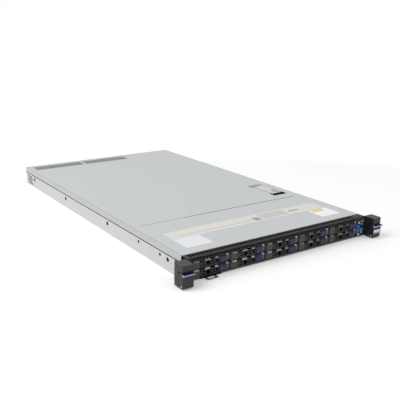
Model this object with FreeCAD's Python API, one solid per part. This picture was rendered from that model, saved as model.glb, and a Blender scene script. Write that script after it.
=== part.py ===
"""1U rack server: a chassis of folded sheet with ten drive trays, fans, boards and supplies.

Units are millimetres. X runs to the right seen from the front, Y to the rear and Z up. The
origin is on the underside, midway between the side walls, in the plane of the tray faces.
"""
import FreeCAD, Part
import math
import os

V = FreeCAD.Vector

# Overall chassis
body_width = 435.0          # across the covers
body_depth = 785.0          # tray faces to the rear wall
body_height = 43.0          # underside to the top of the covers
sheet = 1.0                 # steel of the chassis and covers
cover_clear = 0.2           # between a cover and the wall or edge under it
cover_flange = 12.0         # height of the covers' folded sides
side_groove = 1.0           # gap between the covers' folded sides and the thicker lower walls
side_step_gap = 0.4         # behind the ear's leg
cover_seam_y = 189.0        # joint between the front and the sliding cover
seam_gap = 1.4
seam_inset = 20.5           # each end of the seam closes up over this width
seam_closed = 0.3

# Drive bays
bay_rows = 2
column_pitch = 81.3
row_pitch = 16.8
bay_margin = 5.4            # left wall to the first bay
bay_floor = 2.4             # underside to the lowest tray face
sill_reach = 0.8            # floor edge in front of the tray faces
tray_gap = 3.2              # between neighbouring tray faces
face_height = 15.4
tray_length = 122.0
panel_least = 18.0          # width kept beside the last bay for the front ports

# Tray face, measured from the left edge of its bay
pipe_width = 3.0            # light pipe at the left edge
pipe_setback = 1.4
hinge_block_end = 19.6
lever_start = 20.2
lever_end = 60.2
button_block_start = 61.0
face_depth = 9.0            # of the moulded blocks
bevel_height = 4.2
bevel_depth = 3.8
toe = 1.2

# Tray lever
lever_wall = 1.8
barrel_r = 2.4              # knuckle at the lever's left end
barrel_root = 1.2
finger_hole_x = 37.2
finger_hole_r = 4.4
finger_hole_sides = 12
finger_hole_rise = 6.7      # above the tray's lower edge
slot_height = 2.0
slot_pitch = 4.55
slot_rise = 4.5             # lowest row above the tray's lower edge
slot_inset = 3.4            # wing edge to the first slot end
slot_ring = 1.4             # rim left around the finger hole
catch_x = 54.0              # upright slot at the free end
catch_width = 4.4
catch_height = 7.4
catch_rise = 3.2

# Release button
button_inset = 1.5          # frame of the block left around the button
button_clear = 0.25
button_height = 9.8
button_rise = 1.9
button_depth = 5.0
button_proud = 0.5
button_edge = 0.5
button_travel = 2.0
nub_width = 3.2             # bright nub at the top right of the face
nub_height = 2.6
nub_rise = 0.3              # over the top of the face

# Drive inside each tray
drive_width = 69.85
drive_lead = 17.6           # tray's front to the drive
drive_tail = 4.0            # drive to the tray's rear end
drive_height = 9.5
rail_inset = 0.6            # rails stand inside the edges of the face
rail_rise = 1.0
rail_height = 13.2
drive_rise = 2.2

# Black grille above the trays
grille_clear = 0.4          # over the upper trays
grille_depth = 16.2
grille_sheet = 1.0
grille_pitch = 6.25
grille_hole = 3.7
grille_slot_y = 3.4         # start of the slots on top
grille_slot = 9.6           # length of the slots on top
grille_end_plain = 26.0     # unpierced length at the right end
grille_start_plain = 8.0

# Front panel to the right of the bays
panel_thick = 1.2
panel_clear = 1.0           # from the last bay to the panel
vga_inset = 6.0             # last bay to the video port's centre
vga_z = 18.5
vga_screw_pitch = 25.0
vga_shell_width = 16.9
vga_shell_depth = 8.4
vga_flange_width = 12.5
vga_flange_height = 30.8
vga_post_r = 2.4
usb_step = 9.6              # video port to data port
usb_z = 11.6
usb_width = 5.7
usb_height = 13.1
port_clear = 0.2
power_step = 9.4            # video port to power button
power_z = 26.6
power_r = 2.4
power_rim = 0.6

# Pull-out information tag under the lower trays
tag_left = 19.4             # from the first bay's left edge
tag_width = 45.5
tag_z = 1.15
tag_thick = 0.8
tag_length = 85.0
tag_proud = 2.5
tag_loop_left = 8.5         # from the tag's left edge
tag_loop_width = 22.5
tag_loop_reach = 10.0
tag_loop_rim = 3.4

# Rack ears
ear_gap = 2.0               # side of the covers to the ear
ear_width = 21.5
ear_front = -24.5
ear_z0 = 1.6
ear_top_drop = 0.6          # under the top of the covers
ear_block_height = 11.8     # fixed upper block
ear_edge = 1.4              # bevel of the outer front corner
core_side = 1.9             # latch cheek and its clearance beside the core
core_front = -21.8
plate_back = 0.8            # face that meets the rack rail
plate_thick = 2.0
plate_leg = 36.0
rack_hole_inset = 13.05     # from the ear's inner side
rack_hole_z = 22.25
rack_hole_r = 3.5
screw_way_r = 5.0           # way through the moulding to the rack screw
ear_pin_y = -20.2
ear_pin_z = 5.4
ear_pin_r = 1.4
pin_clear = 0.05
latch_top_drop = 2.6        # under the fixed block
latch_lip_y = -29.6
latch_lip_height = 2.6
latch_skin = 1.5
latch_toe = 1.6
core_foot_y = -12.0         # front of the full-width foot behind the cheeks
core_lead = 3.4             # core stands back this far behind the pin, where the flap's toe swings
core_under = 3.0            # core's underside below the pin there
core_nose_back = 0.8        # front of the pin to the corner under it
core_nose_under = 1.45
core_nose_drop = 0.6
pivot_sides = 10            # holes around pins and shafts
flap_gap = 0.5              # core to the flap's back
flap_nose = 1.2             # swell of the face under the lip
flap_under_lip = 2.2
cheek_back = 3.0            # from the pin to the cheek's lower corner
cheek_bulge = 1.2
cheek_rear_y = -12.6
cheek_rear_z = 14.0
cheek_top_gap = 0.6         # under the fixed block
cheek_top_y = -18.0
cheek_shoulder = 3.5        # height of the slope behind the cheek's top

# Chassis rear: supply bays on the right, expansion slots on the left
supply_count = 2
supply_width = 73.5
supply_top_clear = 1.0      # under the tub's top edge
supply_length = 185.0
supply_gap = 1.0            # partition between the supplies
supply_clear = 0.4
supply_fan_r = 15.0
supply_fan_x = 18.5         # from the supply's left side
supply_fan_depth = 8.0
supply_fan_sides = 12
supply_hub_share = 0.42
inlet_width = 20.0
inlet_height = 27.0
inlet_depth = 18.0
inlet_pin_pitch = 7.0
inlet_pin_width = 4.0
inlet_pin_thick = 2.0
inlet_pin_recess = 3.0
inlet_x = 41.5              # from the supply's left side
handle_x = 37.0
handle_reach = 24.0
handle_bar = 4.0
handle_height = 24.0
release_length = 42.0
release_proud = 12.0
release_thick = 1.6
release_height = 15.0
release_gap = 0.6           # arm to the supply's side
release_knuckle = 0.4       # knuckle swells by this much
release_pad = 7.0
release_pad_thick = 2.0
release_pocket = 8.0

# Fans
fan_count = 4
fan_pitch = 102.0
fan_width = 56.0
fan_top_clear = 0.6         # under the tub's top edge
fan_length = 56.0
fan_gap = 19.4              # behind the backplane
fan_floor = 1.2
fan_wall = 1.2              # over and under the bore
fan_bore_sides = 12
fan_tip_clear = 0.6
fan_hub_r = 9.0
fan_hub_length = 20.0
fan_hub_sides = 8
fan_hub_start = 12.0        # behind the inlet
fan_boss_length = 12.0
fan_shaft_r = 1.5
fan_blades = 5
blade_thick = 1.4
blade_chord = 15.0
blade_pitch = 38.0
fan_strut = 3.0

# Boards
board_thick = 1.6
backplane_gap = 3.0
board_gap = 60.0            # behind the fans
board_rear = 25.0           # in front of the rear wall's outside
board_z = 6.0
board_margin = 3.0
sink_size = 92.0
sink_top_clear = 3.0        # under the cover
sink_base = 4.5
sink_fins = 8
sink_fin_thick = 0.8
sink_x = 98.0
sink_gap = 88.0             # from the board's front edge
socket_height = 3.0
socket_inset = 8.0          # inside the heat sink's edge
post_inset = 12.0
post_wall_gap = 20.0
post_r = 3.0
wing_gap = 20.0             # board to the supplies' front ends
air_margin = 15.0           # each end of the backplane's air slots
air_height = 3.6
air_drop = 4.6              # top of the tray face to the slot's foot
bay_socket_width = 40.0
bay_socket_height = 5.0
memory_length = 133.35
memory_height = 29.0
memory_pitch = 9.5
memory_thick = 3.2
memory_per_bank = 4
memory_gap = 3.0            # heat sink to the outer banks
memory_middle_gap = 2.0     # each side of the middle

# Vent windows in the sliding cover and slots in the side walls
vent_inset = 13.5           # left side to the first field
vent_field_width = 132.0    # first field
vent_field_gap = 7.0
vent_right_inset = 3.9      # second field to the supply bay
vent_rear = 17.0
vent_length = 35.0
side_vent_rear = 48.0
side_vent_z0 = 4.6
side_vent_rows = 4
side_vent_columns = 2
side_vent_length = 12.4
side_vent_height = 3.2
side_vent_pitch_y = 15.4
side_vent_pitch_z = 5.8
side_holes = ((60.0, 21.0, 4.0), (86.5, 22.5, 3.0), (165.0, 22.5, 3.0))
side_hole_sides = 6
rail_hole_first = 297.0
rail_hole_pitch = 219.0
rail_hole_rear = 63.0       # third hole to the rear
rail_end_sides = 8
rail_hole_z = 21.0
rail_hole_r = 4.4

# Rear ports, expansion slots and rear vents, from the left wall's inside
slot_cover_left = 21.3
slot_cover_step = 139.0
slot_cover_width = 112.0
slot_cover_height = 17.5
slot_cover_drop = 2.3       # under the tub's top edge
slot_cover_edge = 6.0       # least metal beside the supply bay
slot_cover_rim = 6.0
slot_cover_border = 3.0
slot_cover_pitch = 24.5
slot_cover_hole = 21.7
riser_inset = 10.0
riser_length = 120.0
riser_rear = 30.0
tongue_depth = 12.0
port_row_z = 3.4
port_sizes = (              # centre from the left wall, width, height
    (33.3, 30.8, 12.5),
    (75.3, 15.6, 14.0),
    (103.3, 15.8, 13.6),
    (121.3, 15.8, 13.6),
    (143.3, 15.8, 13.6),
    (175.3, 30.8, 12.5),
)
port_depth = 16.0
port_floor = 4.0            # blind end of each port
port_wall = 0.8
port_proud = 0.6
rear_vent_left = 195.3
rear_vent_right = 9.9       # to the supply bay
rear_vent_pitch = 25.2
rear_vent_width = 22.0
rear_vent_height = 12.0

# Latch of the sliding cover
pocket_inset = 17.5         # right side of the cover to the pocket
pocket_width = 38.0
pocket_gap = 25.0           # behind the seam
pocket_length = 97.0
pocket_drop = 7.6
lever_left = 9.0            # from the pocket's left wall
lever_width = 25.0
lever_front = 17.0          # from the pocket's front wall
lever_rim = 2.0
lever_end_solid = 6.0
lever_top_thick = 1.6
lever_thick = 4.4
lever_drop = 0.4            # top of the lever under the top of the cover
lever_axis_inset = 12.0     # from the pocket's rear wall
lever_axis_drop = 3.4
lever_boss_r = 2.6
lever_axle_r = 1.5
cam_reach = 7.0
cam_thick = 3.2
cam_width = 9.0
cam_lean = 42.0
cam_slot_clear = 1.0
catch_clear = 0.5           # fixed catch under the pocket floor
catch_back = 1.9            # its rear face behind the axle
catch_depth = 8.0

# Places worked out from the sizes above
half_width = body_width / 2.0
tub_half = half_width - sheet - cover_clear
tub_inner = tub_half - sheet
tub_top = body_height - sheet - cover_clear
tub_front = panel_thick + cover_clear * 2.0
bay_columns = int((2.0 * tub_inner - bay_margin - panel_least) / column_pitch)
bays_left = -tub_inner + bay_margin
bays_right = bays_left + bay_columns * column_pitch
bays_top = bay_floor + (bay_rows - 1) * row_pitch + face_height
tray_start = tray_gap / 2.0
tray_end = column_pitch - tray_gap / 2.0
bevel_start = face_height - bevel_height
grille_bottom = bays_top + grille_clear
flange_bottom = body_height - cover_flange
vga_x = bays_right + vga_inset
usb_x = vga_x + usb_step
power_x = vga_x + power_step
tag_x0 = bays_left + tag_left
tag_x1 = tag_x0 + tag_width
tag_loop_x0 = tag_x0 + tag_loop_left
tag_loop_x1 = tag_loop_x0 + tag_loop_width
ear_inner = half_width + ear_gap
ear_outer = ear_inner + ear_width
ear_z1 = body_height - ear_top_drop
ear_split_z = ear_z1 - ear_block_height
rack_hole_x = ear_inner + rack_hole_inset
latch_top_z = ear_split_z - latch_top_drop
cheek_top = ear_split_z - cheek_top_gap
supply_z0 = sheet + cover_clear
supply_height = tub_top - supply_top_clear - supply_z0
supply_bay_left = tub_inner - supply_count * (supply_width + supply_gap) - supply_clear
supply_y0 = body_depth - supply_length
fan_y = tray_length + backplane_gap + board_thick + fan_gap
fan_height = tub_top - fan_top_clear - fan_floor
fan_bore_r = fan_height / 2.0 - fan_wall
board_y0 = fan_y + fan_length + board_gap
board_y1 = body_depth - board_rear
sink_y = board_y0 + sink_gap
vent_y1 = body_depth - vent_rear
vent_y0 = vent_y1 - vent_length
side_vent_y0 = body_depth - side_vent_rear
slot_cover_z = tub_top - slot_cover_drop - slot_cover_height
pocket_x1 = half_width - pocket_inset
pocket_x0 = pocket_x1 - pocket_width
pocket_y0 = cover_seam_y + pocket_gap
pocket_y1 = pocket_y0 + pocket_length
lever_x0 = pocket_x0 + lever_left
lever_x1 = lever_x0 + lever_width
lever_y0 = pocket_y0 + lever_front
lever_axis_y = pocket_y1 - lever_axis_inset


def box(x0, x1, y0, y1, z0, z1):
    return Part.makeBox(x1 - x0, y1 - y0, z1 - z0, V(x0, y0, z0))


def prism_x(points, x0, x1):
    """Side-view outline of (y, z) points, given its width in X."""
    outline = Part.makePolygon([V(x0, y, z) for y, z in points + points[:1]])
    return Part.Face(outline).extrude(V(x1 - x0, 0, 0))


def prism_y(points, y0, y1):
    """Front-view outline of (x, z) points, given its depth in Y."""
    outline = Part.makePolygon([V(x, y0, z) for x, z in points + points[:1]])
    return Part.Face(outline).extrude(V(0, y1 - y0, 0))


def prism_z(points, z0, z1):
    """Plan outline of (x, y) points, given its height in Z."""
    outline = Part.makePolygon([V(x, y, z0) for x, y in points + points[:1]])
    return Part.Face(outline).extrude(V(0, 0, z1 - z0))


def rod_x(x0, x1, y, z, r):
    return Part.makeCylinder(r, x1 - x0, V(x0, y, z), V(1, 0, 0))


def rod_y(x, y0, y1, z, r):
    return Part.makeCylinder(r, y1 - y0, V(x, y0, z), V(0, 1, 0))


def rod_z(x, y, z0, z1, r):
    return Part.makeCylinder(r, z1 - z0, V(x, y, z0), V(0, 0, 1))


def ring(x, y, r, sides):
    """Corners of a regular outline whose flats keep the radius of a round one."""
    corner = r / math.cos(math.pi / sides)
    step = 2.0 * math.pi / sides
    return [(x + corner * math.cos((k + 0.5) * step), y + corner * math.sin((k + 0.5) * step))
            for k in range(sides)]


def join(first, *others):
    return first.fuse(list(others)).removeSplitter()


def cut(shape, cutters):
    return shape.cut(Part.makeCompound(cutters)).removeSplitter()


def mirrored(shape):
    return shape.mirror(V(0, 0, 0), V(1, 0, 0))


def moved(shape, x, y, z):
    copy = shape.copy()
    copy.translate(V(x, y, z))
    return copy


def save(name, *solids):
    shape = solids[0] if len(solids) == 1 else Part.makeCompound(list(solids))
    shape.exportStep("parts/" + name + ".step")


# Drive tray, modelled in the lowest left bay's own corner: x from the bay's left edge, z from
# the lower edge of the face.

def face_outline(setback, depth):
    """Side view of a tray face block: a toe below and a long bevel above."""
    return [(setback + toe, 0.0), (depth, 0.0), (depth, face_height),
            (setback + bevel_depth, face_height), (setback, bevel_start), (setback, toe)]


def rail(x0, x1):
    return box(x0, x1, face_depth, tray_length, rail_rise, rail_rise + rail_height)


def make_sled():
    rail_thick = (tray_end - tray_start - 2.0 * rail_inset - drive_width) / 2.0
    left_rail = tray_start + rail_inset
    right_rail = tray_end - rail_inset
    pipe = prism_x(face_outline(pipe_setback, face_depth), tray_start, tray_start + pipe_width)
    hinge_block = prism_x(face_outline(0.0, face_depth), tray_start + pipe_width, hinge_block_end)
    button_block = prism_x(face_outline(0.0, face_depth), button_block_start, tray_end)
    pocket = box(button_block_start + button_inset, tray_end - button_inset,
                 -1.0, button_depth + button_travel,
                 button_rise - button_clear, button_rise + button_height + button_clear)
    floor = box(tray_start + pipe_width, tray_end, barrel_r * 2.0 + 1.0, drive_lead,
                rail_rise, drive_rise)
    nub = box(tray_end - nub_width, tray_end, 0.6, bevel_depth,
              face_height - nub_height, face_height + nub_rise)
    sled = join(pipe, hinge_block, button_block, floor, nub,
                rail(left_rail, left_rail + rail_thick), rail(right_rail - rail_thick, right_rail))
    return cut(sled, [pocket])


def make_drive():
    middle = (tray_start + tray_end) / 2.0
    return box(middle - drive_width / 2.0, middle + drive_width / 2.0,
               drive_lead, tray_length - drive_tail, drive_rise, drive_rise + drive_height)


def make_lever():
    """Pierced bezel on an upright barrel, with a finger hole and a catch slot."""
    outer = face_outline(0.0, bevel_depth + lever_wall)
    skin = lever_wall
    inner = [(skin, -1.0), (bevel_depth + lever_wall + 1.0, -1.0),
             (bevel_depth + lever_wall + 1.0, face_height - skin),
             (skin + bevel_depth * 0.8, face_height - skin), (skin, bevel_start - 0.4)]
    barrel_x = lever_start + barrel_r
    shell = prism_x(outer, barrel_x, lever_end).cut(prism_x(inner, barrel_x - 1.0, lever_end + 1.0))
    round_half = rod_z(barrel_x, barrel_r, toe, bevel_start, barrel_r).common(
        box(lever_start, barrel_x, 0.0, 2.0 * barrel_r, toe, bevel_start))
    root = box(barrel_x, barrel_x + barrel_root, 0.0, 2.0 * barrel_r, toe, bevel_start)
    barrel = join(round_half, root)
    lever = join(shell, barrel)
    wing_end = finger_hole_x - finger_hole_r - slot_ring
    wing_start = finger_hole_x + finger_hole_r + slot_ring
    catch_side = catch_x - slot_ring
    cutters = [prism_y(ring(finger_hole_x, finger_hole_rise, finger_hole_r, finger_hole_sides),
                       -1.0, bevel_depth + lever_wall + 1.0)]
    cutters.append(box(catch_x, catch_x + catch_width, -1.0, bevel_depth + lever_wall + 1.0,
                       catch_rise, catch_rise + catch_height))
    for row in range(3):
        z = slot_rise + row * slot_pitch
        for x0, x1 in ((barrel_x + slot_inset - 1.0, wing_end), (wing_start, catch_side)):
            cutters.append(box(x0, x1, -1.0, bevel_depth + lever_wall + 1.0,
                               z - slot_height / 2.0, z + slot_height / 2.0))
    return cut(lever, cutters)


def make_button():
    x0 = button_block_start + button_inset + button_clear
    x1 = tray_end - button_inset - button_clear
    z0 = button_rise
    z1 = button_rise + button_height
    body = box(x0, x1, 0.0, button_depth, z0, z1)
    crown = Part.makeLoft([
        Part.makePolygon([V(x0, 0, z0), V(x1, 0, z0), V(x1, 0, z1), V(x0, 0, z1), V(x0, 0, z0)]),
        Part.makePolygon([V(x0 + button_edge, -button_proud, z0 + button_edge),
                          V(x1 - button_edge, -button_proud, z0 + button_edge),
                          V(x1 - button_edge, -button_proud, z1 - button_edge),
                          V(x0 + button_edge, -button_proud, z1 - button_edge),
                          V(x0 + button_edge, -button_proud, z0 + button_edge)])], True, True)
    return join(body, crown)


def save_trays():
    sled = make_sled()
    drive = make_drive()
    lever = make_lever()
    button = make_button()
    number = 0
    for row in range(bay_rows):
        for column in range(bay_columns):
            number += 1
            place = (bays_left + column * column_pitch, 0.0, bay_floor + row * row_pitch)
            save("drive_tray_%d" % number, moved(sled, *place), moved(drive, *place))
            save("tray_lever_%d" % number, moved(lever, *place))
            save("tray_button_%d" % number, moved(button, *place))


# Cage, front panel and grille

def make_cage():
    """Walls between the columns, a shelf between the rows, a roof and the front panel."""
    cage_start = face_depth + 1.5
    roof_z = bays_top + grille_clear
    walls = []
    for column in range(bay_columns + 1):
        x = bays_left + column * column_pitch
        walls.append(box(x - sheet / 2.0, x + sheet / 2.0, cage_start, tray_length, sheet, roof_z))
    x0 = bays_left - sheet / 2.0
    x1 = bays_right + sheet / 2.0
    roof = box(x0, x1, cage_start, tray_length, roof_z, roof_z + sheet)
    shelf_z = bay_floor + row_pitch - sheet
    shelf = box(x0, x1, cage_start, tray_length, shelf_z - sheet / 2.0, shelf_z + sheet / 2.0)
    tag_way = box(tag_x0 - 1.0, tag_x1 + 1.0, 0.0, tray_length, 0.0, tag_z + tag_thick + 0.4)
    panel_x0 = bays_right + panel_clear
    panel = box(panel_x0, tub_half, 0.0, panel_thick, sheet, grille_bottom - 0.2)
    panel_web = box(bays_right - sheet / 2.0, panel_x0 + 0.4, panel_thick - 0.01, cage_start + 1.0,
                    sheet + 1.0, roof_z - 1.0)
    openings = [
        box(vga_x - vga_shell_depth / 2.0 - port_clear, vga_x + vga_shell_depth / 2.0 + port_clear,
            -1.0, panel_thick + 1.0, vga_z - vga_shell_width / 2.0 - port_clear,
            vga_z + vga_shell_width / 2.0 + port_clear),
        box(usb_x - usb_width / 2.0 - port_clear, usb_x + usb_width / 2.0 + port_clear,
            -1.0, panel_thick + 1.0, usb_z - usb_height / 2.0 - port_clear,
            usb_z + usb_height / 2.0 + port_clear),
        rod_y(power_x, -1.0, panel_thick + 1.0, power_z, power_r + port_clear)]
    cage = join(*(walls + [roof, shelf, panel_web]))
    cage = cut(cage, [tag_way])
    return join(cage, cut(panel, openings))


def make_grille():
    """Folded strip over the trays, pierced by a row of holes in front and of slots on top."""
    top = body_height - cover_clear
    front = box(-half_width, half_width, 0.0, grille_sheet, grille_bottom, top)
    roof = box(-half_width, half_width, 0.0, grille_depth, top - grille_sheet, top)
    ends = [box(side * half_width - (grille_sheet if side > 0 else 0.0),
                side * half_width + (0.0 if side > 0 else grille_sheet),
                0.0, grille_depth, flange_bottom, top) for side in (-1, 1)]
    strip = join(front, roof, *ends)
    first = -half_width + grille_start_plain
    count = int((body_width - grille_start_plain - grille_end_plain) / grille_pitch)
    half = grille_hole / 2.0
    middle_z = (grille_bottom + top - grille_sheet) / 2.0
    cutters = []
    for index in range(count):
        x = first + (index + 0.5) * grille_pitch
        cutters.append(box(x - half, x + half, -1.0, grille_sheet + 1.0,
                           middle_z - half, middle_z + half))
        cutters.append(box(x - half, x + half, grille_slot_y, grille_slot_y + grille_slot,
                           top - grille_sheet - 1.0, top + 1.0))
    return cut(strip, cutters)


# Covers and tub

def cover_shell(y0, y1):
    """Top sheet with both sides folded down over the tub."""
    outside = box(-half_width, half_width, y0, y1, flange_bottom, body_height)
    inside = box(-half_width + sheet, half_width - sheet, y0 - 1.0, y1 + 1.0,
                 flange_bottom - 1.0, body_height - sheet)
    return outside.cut(inside)


def make_front_cover():
    end = cover_seam_y - seam_gap / 2.0
    cover = cover_shell(grille_depth + cover_clear, end)
    reach = end + seam_gap - seam_closed
    shoulders = []
    for side in (-1, 1):
        x0, x1 = sorted((side * half_width, side * (half_width - seam_inset)))
        shoulders.append(box(x0, x1, end, reach, body_height - sheet, body_height))
        x0, x1 = sorted((side * half_width, side * (half_width - sheet)))
        shoulders.append(box(x0, x1, end, reach, flange_bottom, body_height))
    return join(cover, *shoulders)


def vent_cutters():
    cutters = []
    first = -half_width + vent_inset
    second = first + vent_field_width + vent_field_gap
    for x0, x1 in ((first, first + vent_field_width), (second, supply_bay_left - vent_right_inset)):
        cutters.append(box(x0, x1, vent_y0, vent_y1, body_height - 2.0 * sheet, body_height + 1.0))
    return cutters


def lever_axis_z():
    return body_height - lever_axis_drop - lever_drop


def make_top_cover():
    """Sliding cover with the vents, and a sunk pocket that carries the latch and its axle."""
    cover = cover_shell(cover_seam_y + seam_gap / 2.0, body_depth)
    mouth = box(pocket_x0, pocket_x1, pocket_y0, pocket_y1, body_height - 2.0 * sheet, body_height + 1.0)
    floor_z = body_height - pocket_drop
    pocket = box(pocket_x0 - sheet, pocket_x1 + sheet, pocket_y0 - sheet, pocket_y1 + sheet,
                 floor_z - sheet, body_height - sheet)
    hollow = box(pocket_x0, pocket_x1, pocket_y0, pocket_y1, floor_z, body_height)
    cam_x = (lever_x0 + lever_x1) / 2.0
    swing_room = cam_reach + cam_slot_clear
    cam_way = box(cam_x - cam_width / 2.0 - cam_slot_clear, cam_x + cam_width / 2.0 + cam_slot_clear,
                  lever_axis_y - swing_room, lever_axis_y + swing_room, floor_z - 2.0 * sheet, floor_z + 1.0)
    cover = cut(cover, [mouth] + vent_cutters())
    cover = join(cover, cut(pocket, [hollow, cam_way]))
    axle = rod_x(pocket_x0 - sheet, pocket_x1 + sheet, lever_axis_y, lever_axis_z(), lever_axle_r)
    return join(cover, axle)


def make_cover_latch():
    """Lift-up lever on the axle, with a cam that drives the cover back as it rises."""
    top = body_height - lever_drop
    axis_z = lever_axis_z()
    plate = box(lever_x0, lever_x1, lever_y0, lever_axis_y, top - lever_thick, top)
    hollow = box(lever_x0 + lever_rim, lever_x1 - lever_rim, lever_y0 + lever_end_solid,
                 lever_axis_y - lever_end_solid, top - lever_thick - 1.0, top - lever_top_thick)
    boss = rod_x(lever_x0, lever_x1, lever_axis_y, axis_z, lever_boss_r)
    cam_x = (lever_x0 + lever_x1) / 2.0
    cam = box(cam_x - cam_width / 2.0, cam_x + cam_width / 2.0,
              lever_axis_y - cam_thick / 2.0, lever_axis_y + cam_thick / 2.0,
              axis_z - cam_reach, axis_z)
    cam.rotate(V(0, lever_axis_y, axis_z), V(1, 0, 0), cam_lean)
    bore = rod_x(lever_x0 - 1.0, lever_x1 + 1.0, lever_axis_y, axis_z, lever_axle_r + pin_clear)
    return cut(join(plate, boss, cam), [bore, hollow])


def make_tub():
    """Folded floor, side walls and rear wall, with the bays, ports and vents cut out."""
    floor = box(-tub_half, tub_half, tub_front, body_depth, 0.0, sheet)
    sill = box(bays_left, bays_right, -sill_reach, tub_front, 0.0, sheet)
    sides = [box(-tub_half, -tub_inner, tub_front, body_depth, 0.0, tub_top),
             box(tub_inner, tub_half, tub_front, body_depth, 0.0, tub_top)]
    rear = box(-tub_half, tub_half, body_depth - sheet, body_depth, 0.0, tub_top)
    bay_wall = box(supply_bay_left - sheet, supply_bay_left, supply_y0 - 10.0, body_depth, 0.0, tub_top - 1.0)
    between = supply_bay_left + supply_clear + supply_width
    partition = box(between, between + supply_gap, supply_y0 - 10.0, body_depth, 0.0, tub_top - 1.0)
    supply_mouth = box(supply_bay_left, tub_inner, body_depth - 2.0 * sheet, body_depth + 1.0, sheet, tub_top)
    catch_z = body_height - pocket_drop - sheet - catch_clear
    cam_x = (lever_x0 + lever_x1) / 2.0
    catch_y = lever_axis_y + catch_back
    catch = box(cam_x - cam_width / 2.0, tub_inner + sheet / 2.0, catch_y - catch_depth, catch_y,
                catch_z - sheet, catch_z)
    step_y = plate_leg + side_step_gap
    step_top = flange_bottom - side_groove
    steps = [box(-half_width, -tub_half, step_y, body_depth, 0.0, step_top),
             box(tub_half, half_width, step_y, body_depth, 0.0, step_top)]
    tub = join(floor, sill, rear, *(sides + steps))
    tub = cut(tub, [supply_mouth] + side_cutters() + rear_cutters())
    return join(tub, bay_wall, partition, catch)


def side_cutters():
    cutters = []
    reach = half_width + 1.0
    for x0, x1 in ((-reach, -tub_inner + 1.0), (tub_inner - 1.0, reach)):
        for y, z, r in side_holes:
            cutters.append(prism_x(ring(y, z, r, side_hole_sides), x0, x1))
        for y in (rail_hole_first, rail_hole_first + rail_hole_pitch):
            cutters.append(rod_x(x0, x1, y, rail_hole_z, rail_hole_r))
        cutters.append(prism_x(ring(body_depth - rail_hole_rear, rail_hole_z, rail_hole_r,
                                    rail_end_sides), x0, x1))
        for row in range(side_vent_rows):
            for column in range(side_vent_columns):
                y = side_vent_y0 + column * side_vent_pitch_y + (row % 2) * side_vent_pitch_y / 3.0
                z = side_vent_z0 + row * side_vent_pitch_z
                cutters.append(box(x0, x1, y, y + side_vent_length, z, z + side_vent_height))
    return cutters


# Rear ports and expansion slots

def slot_places():
    """Left edges of the slot windows that fit between the left wall and the supply bay."""
    room = supply_bay_left - sheet - slot_cover_edge + tub_inner - slot_cover_left - slot_cover_width
    count = 1 + int(room / slot_cover_step)
    return [-tub_inner + slot_cover_left + index * slot_cover_step for index in range(count)]


def port_places():
    return [(-tub_inner + centre, width, height) for centre, width, height in port_sizes]


def rear_cutters():
    y0 = body_depth - 2.0 * sheet
    y1 = body_depth + 1.0
    cutters = []
    for x in slot_places():
        cutters.append(box(x, x + slot_cover_width, y0, y1, slot_cover_z, slot_cover_z + slot_cover_height))
    for x, width, height in port_places():
        cutters.append(box(x - width / 2.0, x + width / 2.0, y0, y1, port_row_z, port_row_z + height))
    start = -tub_inner + rear_vent_left
    count = int((supply_bay_left - rear_vent_right - start) / rear_vent_pitch)
    for index in range(count):
        x = start + index * rear_vent_pitch
        cutters.append(box(x, x + rear_vent_width, y0, y1, port_row_z, port_row_z + rear_vent_height))
    return cutters


def make_rear_ports():
    """Open-fronted connector shells on the main board, seated in the rear wall."""
    shells = []
    for x, width, height in port_places():
        w = width / 2.0 - port_clear
        z0 = port_row_z + port_clear
        z1 = port_row_z + height - port_clear
        shell = box(x - w, x + w, body_depth - port_depth, body_depth + port_proud, z0, z1)
        mouth = box(x - w + port_wall, x + w - port_wall, body_depth - port_depth + port_floor,
                    body_depth + 1.0, z0 + port_wall, z1 - port_wall)
        shells.append(shell.cut(mouth))
    return shells


def make_expansion_slots():
    """A slot cover in each window, pierced, with the riser board that stands behind it."""
    parts = []
    for x in slot_places():
        x0 = x + port_clear
        x1 = x + slot_cover_width - port_clear
        z0 = slot_cover_z + port_clear
        z1 = slot_cover_z + slot_cover_height - port_clear
        cover = box(x0, x1, body_depth - sheet, body_depth, z0, z1)
        cutters = []
        count = int((x1 - x0 - 2.0 * slot_cover_rim) / slot_cover_pitch)
        for index in range(count):
            hole_x = x0 + slot_cover_rim + index * slot_cover_pitch
            cutters.append(box(hole_x, hole_x + slot_cover_hole, body_depth - 2.0 * sheet,
                               body_depth + 1.0, z0 + slot_cover_border, z1 - slot_cover_border))
        tongue = box(x0, x1, body_depth - tongue_depth, body_depth - sheet, z1 - sheet, z1)
        parts.append(join(cut(cover, cutters), tongue))
        riser_x = x0 + riser_inset
        riser_y = body_depth - riser_rear
        parts.append(box(riser_x, riser_x + board_thick, riser_y - riser_length, riser_y,
                         board_z + board_thick, z1 - 2.0 * sheet))
    return parts


# Inside

def make_backplane():
    y = tray_length + backplane_gap
    board = box(bays_left, bays_right, y, y + board_thick, sheet + 0.5, bays_top)
    air = []
    width = column_pitch - 2.0 * air_margin
    for column in range(bay_columns):
        x = bays_left + column * column_pitch + air_margin
        z = bay_floor + face_height - air_drop
        air.append(box(x, x + width, y - 1.0, y + board_thick + 1.0, z, z + air_height))
    sockets = []
    for column in range(bay_columns):
        x = bays_left + (column + 0.5) * column_pitch
        for row in range(bay_rows):
            z = bay_floor + row * row_pitch + drive_rise
            sockets.append(box(x - bay_socket_width / 2.0, x + bay_socket_width / 2.0,
                               y - backplane_gap + sheet, y, z + sheet, z + sheet + bay_socket_height))
    return join(cut(board, air), *sockets)


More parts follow.
